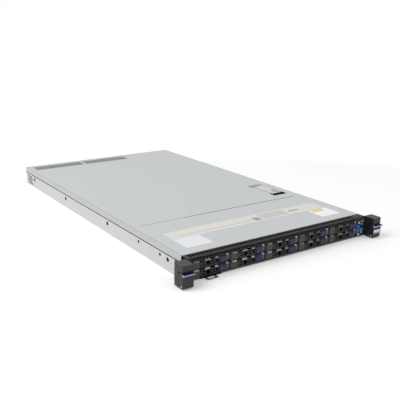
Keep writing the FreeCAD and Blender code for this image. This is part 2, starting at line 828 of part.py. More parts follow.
def make_mainboard():
    board = box(-tub_inner + board_margin, supply_bay_left - sheet - board_margin,
                board_y0, board_y1, board_z, board_z + board_thick)
    wing = box(supply_bay_left - sheet - board_margin, tub_inner - board_margin,
               board_y0, supply_y0 - wing_gap, board_z, board_z + board_thick)
    top = board_z + board_thick
    sockets = [box(x - sink_size / 2.0 + socket_inset, x + sink_size / 2.0 - socket_inset,
                   sink_y + socket_inset, sink_y + sink_size - socket_inset, top, top + socket_height)
               for x in (-sink_x, sink_x)]
    posts = [prism_z(ring(x, y, post_r, 6), sheet, board_z)
             for x in (-tub_inner + post_inset, 0.0, supply_bay_left - post_wall_gap)
             for y in (board_y0 + post_inset, board_y1 - post_inset)]
    return join(board, wing, *(sockets + posts))


def make_heat_sinks():
    """A finned block over each processor socket."""
    z0 = board_z + board_thick + socket_height
    z1 = body_height - sheet - sink_top_clear
    sinks = []
    gap = (sink_size - sink_fins * sink_fin_thick) / (sink_fins - 1)
    for centre in (-sink_x, sink_x):
        x0 = centre - sink_size / 2.0
        block = box(x0, x0 + sink_size, sink_y, sink_y + sink_size, z0, z1)
        gaps = []
        for index in range(sink_fins - 1):
            x = x0 + (index + 1) * sink_fin_thick + index * gap
            gaps.append(box(x, x + gap, sink_y - 1.0, sink_y + sink_size + 1.0, z0 + sink_base, z1 + 1.0))
        sinks.append(cut(block, gaps))
    return sinks


def make_memory():
    """Banks of upright modules beside and between the processors."""
    modules = []
    bank_width = (memory_per_bank - 1) * memory_pitch + memory_thick
    z0 = board_z + board_thick
    y0 = sink_y - (memory_length - sink_size) / 2.0
    side = sink_x + sink_size / 2.0 + memory_gap
    starts = (-side - bank_width, -bank_width - memory_middle_gap, memory_middle_gap, side)
    for start in starts:
        for index in range(memory_per_bank):
            x = start + index * memory_pitch
            modules.append(box(x, x + memory_thick, y0, y0 + memory_length, z0, z0 + memory_height))
    return modules


def fan_centres():
    return [(index - (fan_count - 1) / 2.0) * fan_pitch for index in range(fan_count)]


def fan_axis_z():
    return fan_floor + fan_height / 2.0


def make_fan_frames():
    """Square ducts with a strut across the outlet that carries each shaft."""
    frames = []
    z = fan_axis_z()
    y1 = fan_y + fan_length
    for x in fan_centres():
        frame = box(x - fan_width / 2.0, x + fan_width / 2.0, fan_y, y1, fan_floor, fan_floor + fan_height)
        frame = frame.cut(prism_y(ring(x, z, fan_bore_r, fan_bore_sides), fan_y - 1.0, y1 + 1.0))
        strut = box(x - fan_strut / 2.0, x + fan_strut / 2.0, y1, y1 + fan_strut,
                    fan_floor, fan_floor + fan_height)
        boss = prism_y(ring(x, z, fan_hub_r, fan_hub_sides), y1 - fan_boss_length, y1 + fan_strut)
        bore = prism_y(ring(x, z, fan_shaft_r + pin_clear, pivot_sides), y1 - fan_boss_length - 1.0, y1)
        frames.append(join(frame, strut, boss).cut(bore))
    return frames


def make_fan_rotor():
    """Hub, shaft and pitched blades about the Y axis through the origin."""
    y0 = fan_y + fan_hub_start
    y1 = y0 + fan_hub_length
    hub = prism_y(ring(0.0, 0.0, fan_hub_r, fan_hub_sides), y0, y1)
    shaft = rod_y(0.0, y1, fan_y + fan_length - 1.0, 0.0, fan_shaft_r)
    blades = []
    for index in range(fan_blades):
        blade = box(-blade_thick / 2.0, blade_thick / 2.0, -blade_chord / 2.0, blade_chord / 2.0,
                    fan_hub_r - 1.0, fan_bore_r - fan_tip_clear - 0.4)
        blade.rotate(V(0, 0, 0), V(0, 0, 1), blade_pitch)
        blade.translate(V(0, (y0 + y1) / 2.0, 0))
        blade.rotate(V(0, 0, 0), V(0, 1, 0), index * 360.0 / fan_blades)
        blades.append(blade)
    return join(hub, shaft, *blades)


# Rack ears and their latches

def make_ear():
    """Right ear: a steel angle on the tub, and a moulding of an upper block and a lower core."""
    flange = box(half_width + cover_clear, ear_outer, plate_back - plate_thick, plate_back,
                 ear_z0, ear_z1)
    leg = box(tub_half, tub_half + plate_thick, plate_back - plate_thick, plate_leg,
              ear_z0, flange_bottom - cover_clear)
    angle = join(flange, leg)
    angle = angle.cut(rod_y(rack_hole_x, plate_back - plate_thick - 1.0, plate_back + 1.0,
                            rack_hole_z, rack_hole_r))
    back = plate_back - plate_thick
    block_plan = [(ear_inner, back), (ear_outer, back), (ear_outer, ear_front + ear_edge),
                  (ear_outer - ear_edge, ear_front), (ear_inner, ear_front)]
    block = prism_z(block_plan, ear_split_z, ear_z1)
    core_outline = [(back, ear_z0), (ear_pin_y + core_lead, ear_z0),
                    (ear_pin_y + core_lead, ear_pin_z - core_under),
                    (ear_pin_y - core_nose_back, ear_pin_z - core_nose_under),
                    (core_front, ear_pin_z - core_nose_drop), (core_front, ear_split_z),
                    (back, ear_split_z)]
    core = prism_x(core_outline, ear_inner + core_side, ear_outer - core_side)
    foot = box(ear_inner, ear_outer, core_foot_y, back, ear_z0, ear_split_z)
    moulding = join(block, core, foot)
    way = prism_y(ring(rack_hole_x, rack_hole_z, screw_way_r, 8), core_front - 5.0, back + 1.0)
    moulding = moulding.cut(way)
    pin = rod_x(ear_inner + 0.1, ear_outer - 0.1, ear_pin_y, ear_pin_z, ear_pin_r)
    return angle, join(moulding, pin)


def make_ear_latch():
    """Flap over the core: a face with a pull lip on top, and a cheek at each side on the pin."""
    face = [(core_front - flap_gap, latch_toe + 1.2), (core_front - flap_gap, latch_top_z),
            (latch_lip_y, latch_top_z), (latch_lip_y, latch_top_z - latch_lip_height),
            (ear_front - flap_nose, latch_top_z - latch_lip_height - flap_under_lip),
            (ear_front, latch_toe + 1.2), (ear_front + 0.6, latch_toe), (core_front - flap_gap, latch_toe)]
    skin = prism_x(face, ear_inner, ear_outer)
    cheek_outline = [(core_front - 1.0, latch_toe), (ear_pin_y + cheek_back, latch_toe),
                     (ear_pin_y + cheek_back + cheek_bulge, ear_pin_z),
                     (cheek_rear_y, cheek_rear_z), (cheek_rear_y, cheek_top - cheek_shoulder),
                     (cheek_top_y, cheek_top), (core_front - 1.0, cheek_top)]
    cheeks = [prism_x(cheek_outline, ear_inner, ear_inner + latch_skin),
              prism_x(cheek_outline, ear_outer - latch_skin, ear_outer)]
    bore = prism_x(ring(ear_pin_y, ear_pin_z, ear_pin_r + pin_clear, pivot_sides),
                   ear_inner - 1.0, ear_outer + 1.0)
    return join(skin, *cheeks).cut(bore)


# Small front pieces

def make_tag():
    plate = box(tag_x0, tag_x1, -tag_proud, tag_length, tag_z, tag_z + tag_thick)
    loop = box(tag_loop_x0, tag_loop_x1, -tag_proud - tag_loop_reach, 0.0, tag_z, tag_z + tag_thick)
    window = box(tag_loop_x0 + tag_loop_rim, tag_loop_x1 - tag_loop_rim,
                 -tag_proud - tag_loop_reach + tag_loop_rim * 0.6, -tag_proud - tag_loop_rim * 0.2,
                 tag_z - 1.0, tag_z + tag_thick + 1.0)
    return cut(join(plate, loop), [window])


def make_front_ports():
    """Upright video port with its two screw posts, and the upright data port beside it."""
    plate = box(vga_x - vga_flange_width / 2.0, vga_x + vga_flange_width / 2.0,
                -0.8, 0.0, vga_z - vga_flange_height / 2.0, vga_z + vga_flange_height / 2.0)
    w = vga_shell_depth / 2.0
    h = vga_shell_width / 2.0
    taper = 1.3
    d_outline = [(vga_x - w, vga_z - h), (vga_x + w, vga_z - h + taper),
                 (vga_x + w, vga_z + h - taper), (vga_x - w, vga_z + h)]
    wall = 0.5
    d_inside = [(vga_x - w + wall, vga_z - h + wall * 2.0), (vga_x + w - wall, vga_z - h + taper + wall),
                (vga_x + w - wall, vga_z + h - taper - wall), (vga_x - w + wall, vga_z + h - wall * 2.0)]
    shell = prism_y(d_outline, -5.6, 12.0).cut(prism_y(d_inside, -6.0, 6.4))
    plate = plate.cut(prism_y(d_outline, -2.0, 1.0))
    posts = []
    for side in (-1, 1):
        z = vga_z + side * vga_screw_pitch / 2.0
        hexagon = ring(vga_x, z, vga_post_r, 6)
        posts.append(prism_y(hexagon, -5.0, -0.8))
    insert = prism_y(d_inside, -3.2, 6.4)
    video = join(plate, *posts)
    x0 = usb_x - usb_width / 2.0
    x1 = usb_x + usb_width / 2.0
    z0 = usb_z - usb_height / 2.0
    z1 = usb_z + usb_height / 2.0
    data = box(x0, x1, -1.0, 14.0, z0, z1)
    data = data.cut(box(x0 + 0.4, x1 - 0.4, -2.0, 11.0, z0 + 0.4, z1 - 0.4))
    tongue = box(x0 + 1.1, x0 + 2.9, 0.2, 11.0, z0 + 1.0, z1 - 1.0)
    return join(video, shell), insert, join(data, tongue)


def make_power_button():
    cap = rod_y(power_x, -0.9, panel_thick + 0.5, power_z, power_r)
    r = power_r + power_rim
    rim = box(power_x - r, power_x + r, panel_thick + 0.4, 3.0, power_z - r, power_z + r)
    return join(cap, rim)


# Power supplies

def supply_left(index):
    return supply_bay_left + supply_clear + index * (supply_width + supply_gap)


def make_supply(index):
    """Case with a fan mouth, a mains inlet, a loop handle and a pocket for the release."""
    x0 = supply_left(index) + supply_clear / 2.0
    x1 = supply_left(index) + supply_width - supply_clear / 2.0
    z0 = supply_z0
    z1 = z0 + supply_height
    y1 = body_depth
    case = box(x0, x1, supply_y0, y1, z0, z1)
    middle_z = (z0 + z1) / 2.0
    fan_x = x0 + supply_fan_x
    mouth = prism_y(ring(fan_x, middle_z, supply_fan_r, supply_fan_sides), y1 - supply_fan_depth, y1 + 1.0)
    hub = prism_y(ring(fan_x, middle_z, supply_fan_r * supply_hub_share, supply_fan_sides),
                  y1 - supply_fan_depth - 1.0, y1 - 1.0)
    inlet_x0 = x0 + inlet_x
    inlet_z0 = middle_z - inlet_height / 2.0
    inlet = box(inlet_x0, inlet_x0 + inlet_width, y1 - inlet_depth, y1 + 1.0,
                inlet_z0, inlet_z0 + inlet_height)
    pin_x = inlet_x0 + inlet_width / 2.0
    half_pin = inlet_pin_width / 2.0
    pins = [box(pin_x - half_pin, pin_x + half_pin, y1 - inlet_depth - 1.0, y1 - inlet_pin_recess,
                middle_z + offset - inlet_pin_thick / 2.0, middle_z + offset + inlet_pin_thick / 2.0)
            for offset in (-inlet_pin_pitch, 0.0, inlet_pin_pitch)]
    pocket = box(x1 - release_pocket, x1 + 1.0, y1 - release_length, y1 + 1.0,
                 middle_z - release_height / 2.0 - 1.0, middle_z + release_height / 2.0 + 1.0)
    case = join(cut(case, [mouth, inlet, pocket]), hub, *pins)
    return join(case, make_handle(x0 + handle_x, y1, middle_z))


def make_handle(x, y, z):
    """Upright loop in front of the fan mouth."""
    outer = box(x - handle_bar / 2.0, x + handle_bar / 2.0, y - 0.5, y + handle_reach,
                z - handle_height / 2.0 - handle_bar, z + handle_height / 2.0 + handle_bar)
    inner = box(x - handle_bar, x + handle_bar, y - 1.0, y + handle_reach - handle_bar,
                z - handle_height / 2.0, z + handle_height / 2.0)
    return outer.cut(inner)


def make_release(index):
    """Springy arm in the side pocket of a supply, with a thumb pad outside."""
    x1 = supply_left(index) + supply_width - supply_clear / 2.0 - release_gap
    z = supply_z0 + supply_height / 2.0
    reach = body_depth + release_proud
    half = release_height / 2.0
    y0 = body_depth - release_length + 1.0
    arm = box(x1 - release_thick, x1, y0 + release_thick, reach, z - half, z + half)
    knuckle_r = release_thick / 2.0 + release_knuckle
    knuckle = rod_z(x1 - knuckle_r, y0 + release_thick, z - half, z + half, knuckle_r)
    pad = box(x1 - release_pad, x1, reach - release_pad_thick, reach, z - half, z + half)
    return join(arm, knuckle, pad)


def main():
    os.makedirs("parts", exist_ok=True)
    save_trays()
    save("drive_cage", make_cage())
    save("front_grille", make_grille())
    save("front_cover", make_front_cover())
    save("top_cover", make_top_cover())
    save("cover_latch", make_cover_latch())
    save("chassis_tub", make_tub())
    angle, moulding = make_ear()
    save("right_ear", angle, moulding)
    save("left_ear", mirrored(angle), mirrored(moulding))
    flap = make_ear_latch()
    save("right_ear_latch", flap)
    save("left_ear_latch", mirrored(flap))
    save("info_tag", make_tag())
    save("front_ports", *make_front_ports())
    save("power_button", make_power_button())
    save("drive_backplane", make_backplane())
    save("mainboard", make_mainboard())
    save("heat_sinks", *make_heat_sinks())
    save("memory_modules", *make_memory())
    save("fan_frames", *make_fan_frames())
    rotor = make_fan_rotor()
    for index, x in enumerate(fan_centres()):
        save("fan_rotor_%d" % (index + 1), moved(rotor, x, 0.0, fan_axis_z()))
    save("rear_ports", *make_rear_ports())
    save("expansion_slots", *make_expansion_slots())
    for index in range(supply_count):
        save("power_supply_%d" % (index + 1), make_supply(index))
        save("supply_release_%d" % (index + 1), make_release(index))


main()
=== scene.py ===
import bpy
import bmesh
import math
from mathutils import Matrix, Vector


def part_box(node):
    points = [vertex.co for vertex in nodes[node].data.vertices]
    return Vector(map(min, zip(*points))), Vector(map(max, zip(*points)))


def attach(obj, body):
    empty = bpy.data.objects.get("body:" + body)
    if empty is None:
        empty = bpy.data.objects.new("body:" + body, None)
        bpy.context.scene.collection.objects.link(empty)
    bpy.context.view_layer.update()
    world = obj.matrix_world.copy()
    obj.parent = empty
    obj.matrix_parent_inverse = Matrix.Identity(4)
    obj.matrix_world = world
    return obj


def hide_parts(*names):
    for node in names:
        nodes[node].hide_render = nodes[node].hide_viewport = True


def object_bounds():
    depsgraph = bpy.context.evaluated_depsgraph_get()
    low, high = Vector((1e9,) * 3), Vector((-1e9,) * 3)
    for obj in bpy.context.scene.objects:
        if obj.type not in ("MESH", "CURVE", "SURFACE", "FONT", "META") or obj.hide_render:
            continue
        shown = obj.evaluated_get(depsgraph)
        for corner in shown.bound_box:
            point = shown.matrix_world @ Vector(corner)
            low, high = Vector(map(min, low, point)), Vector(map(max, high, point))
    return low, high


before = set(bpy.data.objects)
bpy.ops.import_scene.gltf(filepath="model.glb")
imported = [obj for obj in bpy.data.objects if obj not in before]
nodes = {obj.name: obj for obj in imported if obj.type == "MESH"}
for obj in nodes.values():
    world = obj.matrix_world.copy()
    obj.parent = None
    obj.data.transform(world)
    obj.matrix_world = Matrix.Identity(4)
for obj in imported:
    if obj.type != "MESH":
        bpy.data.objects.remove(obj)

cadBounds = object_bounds()
mm = 0.001  # lengths below are in mm
top = cadBounds[1][2] / mm

# what an entry of finishes leaves out comes from plainFinish
# grain: size of the speckle per metre, vary: its strength, shine: the specular level
plainFinish = {"metal": 0.0, "rough": 0.5, "shine": 0.5, "grain": 900.0, "vary": 0.05, "bump": 0.03}
speckle = {"detail": 3.0, "low": 0.35, "high": 0.65, "height": 0.0002}
facing = {"square": 0.9, "half": 0.5, "slope": 0.3, "edge": 0.2}  # limits for one part of a unit normal
finishes = {
    "galvanised": {"color": (0.56, 0.565, 0.555), "metal": 0.3, "grain": 260.0},
    "innerSteel": {"color": (0.46, 0.465, 0.46), "metal": 0.6, "rough": 0.45, "grain": 220.0, "vary": 0.06},
    "coverSteel": {"color": (0.545, 0.57, 0.575), "metal": 0.25, "grain": 300.0, "vary": 0.03, "bump": 0.02},
    "edgeShade": {"color": (0.33, 0.34, 0.342), "metal": 0.25, "grain": 300.0, "vary": 0.03, "bump": 0.02},
    "hingeGrey": {"color": (0.062, 0.059, 0.053), "shine": 0.3, "grain": 1300.0, "vary": 0.15, "bump": 0.1},
    # painted shade: a darker copy of the cover steel for the covers' folded sides
    "shadedFoldSteel": {"color": (0.47, 0.476, 0.472), "metal": 0.25, "rough": 0.48, "grain": 300.0, "vary": 0.03,
                  "bump": 0.02},
    "screenSteel": {"color": (0.3, 0.306, 0.306), "metal": 0.3, "grain": 300.0, "vary": 0.04, "bump": 0.02},
    # painted shade: a darker copy of the cover steel for the latch pocket and the dimple
    "shadedCoverSteel": {"color": (0.42, 0.43, 0.43), "metal": 0.3, "rough": 0.55, "grain": 500.0, "vary": 0.1,
                    "bump": 0.05},
    # painted shade: dark grey standing for the shade in openings, on port walls, beside the cover seam and on
    # the latch's front face
    "paintedShadeGrey": {"color": (0.1, 0.1, 0.1), "rough": 0.55, "shine": 0.2, "grain": 500.0, "vary": 0.08,
                   "bump": 0.04},
    # black powder coat of the panel and video flange, also painted shade on the ears' inner sides
    "blackPowderAndShade": {"color": (0.01, 0.009, 0.009), "rough": 0.6, "shine": 0.15, "grain": 1400.0, "vary": 0.12,
                    "bump": 0.1},
    "grilleBlack": {"color": (0.056, 0.053, 0.05), "rough": 0.6, "shine": 0.1, "grain": 1400.0, "vary": 0.12,
                    "bump": 0.1},
    "latchGrey": {"color": (0.61, 0.62, 0.62), "rough": 0.45, "vary": 0.04, "bump": 0.05},
    "touchLilac": {"color": (0.27, 0.28, 0.5), "rough": 0.42, "bump": 0.05},
    "charcoal": {"color": (0.029, 0.027, 0.026), "shine": 0.35, "grain": 1500.0, "vary": 0.1, "bump": 0.12},
    "earSteel": {"color": (0.026, 0.024, 0.023), "rough": 0.45, "grain": 500.0},
    "tagBlack": {"color": (0.01, 0.01, 0.01), "shine": 0.25, "vary": 0.08, "bump": 0.05},
    "nickel": {"color": (0.6, 0.6, 0.59), "metal": 0.9, "rough": 0.28, "grain": 600.0, "vary": 0.04,
               "bump": 0.02},
    "videoBlue": {"color": (0.02, 0.11, 0.6), "rough": 0.38, "bump": 0.04},
    "dataTeal": {"color": (0.03, 0.26, 0.32), "rough": 0.4, "bump": 0.04},
    "powerLilac": {"color": (0.42, 0.4, 0.5), "rough": 0.35, "grain": 700.0, "vary": 0.04},
    "solderGreen": {"color": (0.012, 0.07, 0.03), "rough": 0.35, "grain": 160.0, "vary": 0.25, "bump": 0.1},
    "bareAluminium": {"color": (0.62, 0.63, 0.64), "metal": 0.9, "rough": 0.38, "grain": 400.0},
    "trayDark": {"color": (0.026, 0.026, 0.026), "shine": 0.2, "grain": 1300.0, "vary": 0.1, "bump": 0.08},
    "lightPipe": {"color": (0.035, 0.035, 0.036), "rough": 0.25, "shine": 0.4, "vary": 0.04, "bump": 0.02},
    "driveCase": {"color": (0.42, 0.42, 0.42), "metal": 0.8, "rough": 0.4, "grain": 300.0},
    "leverDark": {"color": (0.046, 0.043, 0.04), "rough": 0.55, "shine": 0.15, "grain": 1300.0, "vary": 0.12,
                  "bump": 0.08},
    "bevelSilver": {"color": (0.075, 0.075, 0.074), "rough": 0.22, "shine": 0.95},
    "slateBlue": {"color": (0.042, 0.05, 0.098), "rough": 0.45, "shine": 0.35, "vary": 0.2, "bump": 0.06},
    "brightNub": {"color": (0.5, 0.51, 0.53), "metal": 0.1, "rough": 0.25, "grain": 600.0, "vary": 0.02,
                  "bump": 0.02},
    "pinWhite": {"color": (0.78, 0.78, 0.77), "metal": 0.1, "rough": 0.35, "grain": 600.0, "vary": 0.02,
                 "bump": 0.02},
    "labelWhite": {"color": (0.77, 0.78, 0.81), "rough": 0.55, "shine": 0.3, "grain": 500.0, "vary": 0.015,
                   "bump": 0.02},
    "labelBright": {"color": (0.9, 0.9, 0.91), "rough": 0.55, "shine": 0.3, "grain": 500.0, "vary": 0.01,
                    "bump": 0.02},
    "labelCream": {"color": (0.7, 0.69, 0.642), "rough": 0.55, "shine": 0.3, "grain": 400.0, "vary": 0.015,
                   "bump": 0.02},
    "labelGrey": {"color": (0.36, 0.36, 0.35), "rough": 0.6, "shine": 0.3, "grain": 400.0, "vary": 0.03,
                  "bump": 0.02},
    "labelFaded": {"color": (0.56, 0.56, 0.53), "rough": 0.55, "shine": 0.3, "grain": 250.0, "bump": 0.02},
    "labelAmber": {"color": (0.82, 0.62, 0.2), "shine": 0.3, "grain": 400.0, "vary": 0.03, "bump": 0.02},
    # painted shade: navy for the ear latches' lip tops and for the band above the lips
    "paintedShadeNavy": {"color": (0.006, 0.006, 0.035), "shine": 0.25, "vary": 0.08, "bump": 0.04},
    # painted shade: a darker copy of the button blue for the button's sides, the block round it, its ring and
    # the notches
    "shadedBlue": {"color": (0.01, 0.012, 0.036), "rough": 0.45, "shine": 0.3, "grain": 1100.0, "vary": 0.06,
                  "bump": 0.05},
    "edgeGrey": {"color": (0.48, 0.49, 0.53), "rough": 0.35},
    # near black: painted shade in holes, gaps and recesses; also the dark pivot dot on the latch
    "blackMarkAndPaintedShade": {"color": (0.003, 0.003, 0.003), "rough": 0.8, "shine": 0.02, "grain": 300.0, "bump": 0.02},
    "indicatorWhite": {"color": (0.88, 0.9, 0.86), "rough": 0.25, "grain": 300.0, "vary": 0.02, "bump": 0.01},
    "guardBlack": {"color": (0.016, 0.016, 0.017), "shine": 0.3, "vary": 0.1, "bump": 0.08},
}
made = {}


def finish(name):
    if name in made:
        return made[name]
    f = {**plainFinish, **finishes[name]}
    mat = bpy.data.materials.new(name)
    mat.use_nodes = True
    tree = mat.node_tree
    tree.nodes.clear()
    out = tree.nodes.new("ShaderNodeOutputMaterial")
    shader = tree.nodes.new("ShaderNodeBsdfPrincipled")
    coords = tree.nodes.new("ShaderNodeTexCoord")
    noise = tree.nodes.new("ShaderNodeTexNoise")
    ramp = tree.nodes.new("ShaderNodeValToRGB")
    bump = tree.nodes.new("ShaderNodeBump")
    shader.inputs["Metallic"].default_value = f["metal"]
    shader.inputs["Roughness"].default_value = f["rough"]
    shader.inputs["Specular IOR Level"].default_value = f["shine"]
    noise.inputs["Scale"].default_value = f["grain"]
    noise.inputs["Detail"].default_value = speckle["detail"]
    bump.inputs["Strength"].default_value = f["bump"]
    bump.inputs["Distance"].default_value = speckle["height"]
    low, high = ramp.color_ramp.elements
    low.position = speckle["low"]
    high.position = speckle["high"]
    low.color = [c * (1.0 - f["vary"]) for c in f["color"]] + [1.0]
    high.color = [min(1.0, c * (1.0 + f["vary"])) for c in f["color"]] + [1.0]
    link = tree.links.new
    link(coords.outputs["Object"], noise.inputs["Vector"])
    link(noise.outputs["Fac"], ramp.inputs["Fac"])
    link(ramp.outputs["Color"], shader.inputs["Base Color"])
    link(noise.outputs["Fac"], bump.inputs["Height"])
    link(bump.outputs["Normal"], shader.inputs["Normal"])
    link(shader.outputs["BSDF"], out.inputs["Surface"])
    made[name] = mat
    return mat


def corners(node):
    low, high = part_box(node)
    return Vector(low) / mm, Vector(high) / mm


def dress(node, name, rules=()):  # each rule: a finish, and a test of a face's middle and normal
    obj = nodes[node]
    obj.data.materials.clear()
    for entry in [name] + [rule[0] for rule in rules]:
        obj.data.materials.append(finish(entry))
    for poly in obj.data.polygons:
        place = Vector(poly.center) / mm
        poly.material_index = 0
        for index, (_, test) in enumerate(rules, 1):
            if test(place, poly.normal):
                poly.material_index = index
                break


def addPiece(name, bm, material, body, edge=0.0):  # edge: width of the bevel on every edge
    if edge > 0.0:
        bmesh.ops.bevel(bm, geom=list(bm.edges), offset=edge * mm, segments=2, profile=0.5, affect="EDGES")
    bmesh.ops.recalc_face_normals(bm, faces=bm.faces)
    mesh = bpy.data.meshes.new(name)
    bm.to_mesh(mesh)
    bm.free()
    mesh.materials.append(finish(material))
    obj = bpy.data.objects.new(name, mesh)
    bpy.context.scene.collection.objects.link(obj)
    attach(obj, body)
    return obj


def extrude(bm, outline, shift):
    low = [bm.verts.new(Vector(p) * mm) for p in outline]
    high = [bm.verts.new((Vector(p) + Vector(shift)) * mm) for p in outline]
    bm.faces.new(low)
    bm.faces.new(list(reversed(high)))
    count = len(low)
    for i in range(count):
        bm.faces.new((low[i], high[i], high[(i + 1) % count], low[(i + 1) % count]))


def block(bm, low, high):
    (x0, y0, z0), (x1, y1, z1) = low, high
    extrude(bm, [(x0, y0, z0), (x1, y0, z0), (x1, y1, z0), (x0, y1, z0)], (0, 0, z1 - z0))


def slab(name, low, high, material, body, edge=0.0):
    bm = bmesh.new()
    block(bm, low, high)
    return addPiece(name, bm, material, body, edge)


def roundedOutline(x0, x1, y0, y1, radius, z, steps=4):
    points = []
    for cx, cy, start in ((x1 - radius, y1 - radius, 0), (x0 + radius, y1 - radius, 90),
                          (x0 + radius, y0 + radius, 180), (x1 - radius, y0 + radius, 270)):
        for step in range(steps + 1):
            a = math.radians(start + 90.0 * step / steps)
            points.append((cx + radius * math.cos(a), cy + radius * math.sin(a), z))
    return points


def plate(name, outline, shift, material, body, edge=0.0):
    bm = bmesh.new()
    extrude(bm, outline, shift)
    return addPiece(name, bm, material, body, edge)


def disc(bm, centre, axis, radius, height, sides=16):
    along = Vector(axis).normalized()
    side = along.orthogonal().normalized()
    other = along.cross(side)
    ring = []
    for i in range(sides):
        a = 2.0 * math.pi * i / sides
        ring.append(Vector(centre) + radius * (math.cos(a) * side + math.sin(a) * other))
    extrude(bm, ring, along * height)


def roundPlate(name, centre, axis, radius, height, material, body, edge=0.0, sides=16):
    bm = bmesh.new()
    disc(bm, centre, axis, radius, height, sides)
    return addPiece(name, bm, material, body, edge)


print("finishes ready")

bodyOf = {"drive_backplane": "solderGreen", "mainboard": "solderGreen", "heat_sinks": "bareAluminium",
          "memory_modules": "solderGreen", "fan_frames": "guardBlack", "info_tag": "tagBlack",
          "power_button": "powerLilac"}
for node, name in bodyOf.items():
    dress(node, name)
for node in nodes:
    if node.startswith("fan_rotor"):
        dress(node, "guardBlack")
    elif node.startswith("supply_release"):
        dress(node, "slateBlue")

# tub: the walls of its side openings in painted shade, dark grey
tub = {"wall": 2.0, "foot": 2.0, "head": 28.5, "front": 2.8, "rear": 2.0}
tubLow, tubHigh = corners("chassis_tub")


def inTubOpening(p, n):
    return (abs(n.x) < facing["edge"] and abs(p.x) > tubHigh.x - tub["wall"]
            and tubLow.z + tub["foot"] < p.z < tubLow.z + tub["head"]
            and tubLow.y + tub["front"] < p.y < tubHigh.y - tub["rear"])


dress("chassis_tub", "galvanised", [("paintedShadeGrey", inTubOpening)])

# grille: openings placed as in the solid, with painted shade: black inside them and in rims round their edges
grille = {"startPlain": 8.0, "endPlain": 26.0, "pitch": 6.25, "half": 1.85, "rim": 0.35, "lift": 0.02,
          "clear": 0.4, "sheet": 1.0, "slotStart": 3.4, "slotEnd": 13.0}
grilleLow, grilleHigh = corners("front_grille")


def inGrilleOpening(p, n):
    onTop = n.z > facing["slope"] and p.z > grilleHigh.z - grille["sheet"]
    onFront = n.y < -facing["slope"] and p.y < grilleLow.y + grille["sheet"]
    return not onTop and not onFront


def addHoleShade(bm, x, v0, v1, place):
    loops = []
    for grow in (0.0, grille["rim"]):
        half = grille["half"] + grow
        spots = ((x - half, v0 - grow), (x + half, v0 - grow), (x + half, v1 + grow), (x - half, v1 + grow))
        loops.append([bm.verts.new(Vector(place(u, v)) * mm) for u, v in spots])
    inner, outer = loops
    for i in range(4):
        j = (i + 1) % 4
        bm.faces.new((inner[i], inner[j], outer[j], outer[i]))


def makeHoleShades():
    width = grilleHigh.x - grilleLow.x
    count = int((width - grille["startPlain"] - grille["endPlain"]) / grille["pitch"])
    middle = (corners("tray_lever_10")[1].z + grille["clear"] + grilleHigh.z - grille["sheet"]) / 2.0
    frontY = grilleLow.y - grille["lift"]
    roofZ = grilleHigh.z + grille["lift"]
    bm = bmesh.new()
    for index in range(count):
        x = grilleLow.x + grille["startPlain"] + (index + 0.5) * grille["pitch"]
        addHoleShade(bm, x, middle - grille["half"], middle + grille["half"], lambda u, v: (u, frontY, v))
        addHoleShade(bm, x, grilleLow.y + grille["slotStart"], grilleLow.y + grille["slotEnd"],
               lambda u, v: (u, v, roofZ))
    addPiece("grille_hole_shades", bm, "blackMarkAndPaintedShade", "chassis")


dress("front_grille", "grilleBlack", [("blackMarkAndPaintedShade", inGrilleOpening)])
makeHoleShades()

# connectors and slot covers at the rear: painted shade in the mouths, black at their floors and dark grey on
# their walls; green riser boards
rear = {"mouth": 1.0, "riser": 15.0}
portEnd = corners("rear_ports")[1].y
slotEnd = corners("expansion_slots")[1].y


def isPortFloor(p, n):
    return n.y > facing["square"] and p.y < portEnd - rear["mouth"]


def isPortWall(p, n):
    return abs(n.y) < facing["half"]


def isRiser(p, n):
    return p.y < slotEnd - rear["riser"]


dress("rear_ports", "nickel", [("blackMarkAndPaintedShade", isPortFloor), ("paintedShadeGrey", isPortWall)])
dress("expansion_slots", "nickel", [("solderGreen", isRiser)])
print("chassis and inside dressed")

# covers: painted shade: the folded sides and the latch pocket in darker copies of the cover steel, black at the
# pocket's front, dark grey on the latch's front face
pocket = {"left": 9.0, "right": 4.0, "front": 17.0, "rear": 15.0, "length": 97.0, "grip": 10.0, "slack": 1.0,
          "below": 0.3}
latchLow, latchHigh = corners("cover_latch")
coverLow, coverHigh = corners("top_cover")
lidLow, lidHigh = corners("front_cover")


def inPocket(p, n):
    slack = pocket["slack"]
    return (latchLow.x - pocket["left"] - slack < p.x < latchHigh.x + pocket["right"] + slack
            and latchLow.y - pocket["front"] - slack < p.y < latchHigh.y + pocket["rear"] + slack
            and p.z < top - pocket["below"])


def inGrip(p, n):
    return inPocket(p, n) and p.y < latchLow.y - pocket["grip"]


def onFold(p, n):
    return abs(n.x) > facing["square"]


def facesForward(p, n):
    return n.y < -facing["square"]


dress("top_cover", "coverSteel", [("blackMarkAndPaintedShade", inGrip), ("shadedCoverSteel", inPocket), ("shadedFoldSteel", onFold)])
dress("front_cover", "coverSteel", [("shadedFoldSteel", onFold)])
dress("cover_latch", "latchGrey", [("paintedShadeGrey", facesForward)])

# fine pierced sheet in each vent window; windows are measured from the cover's left edge
screen = {"windows": ((13.5, 145.5), (152.5, 279.5)), "fromRear": 52.0, "length": 35.0, "pitch": 4.0,
          "hole": 1.5, "below": 0.12, "thick": 0.7, "sides": 8, "weld": 0.00001}


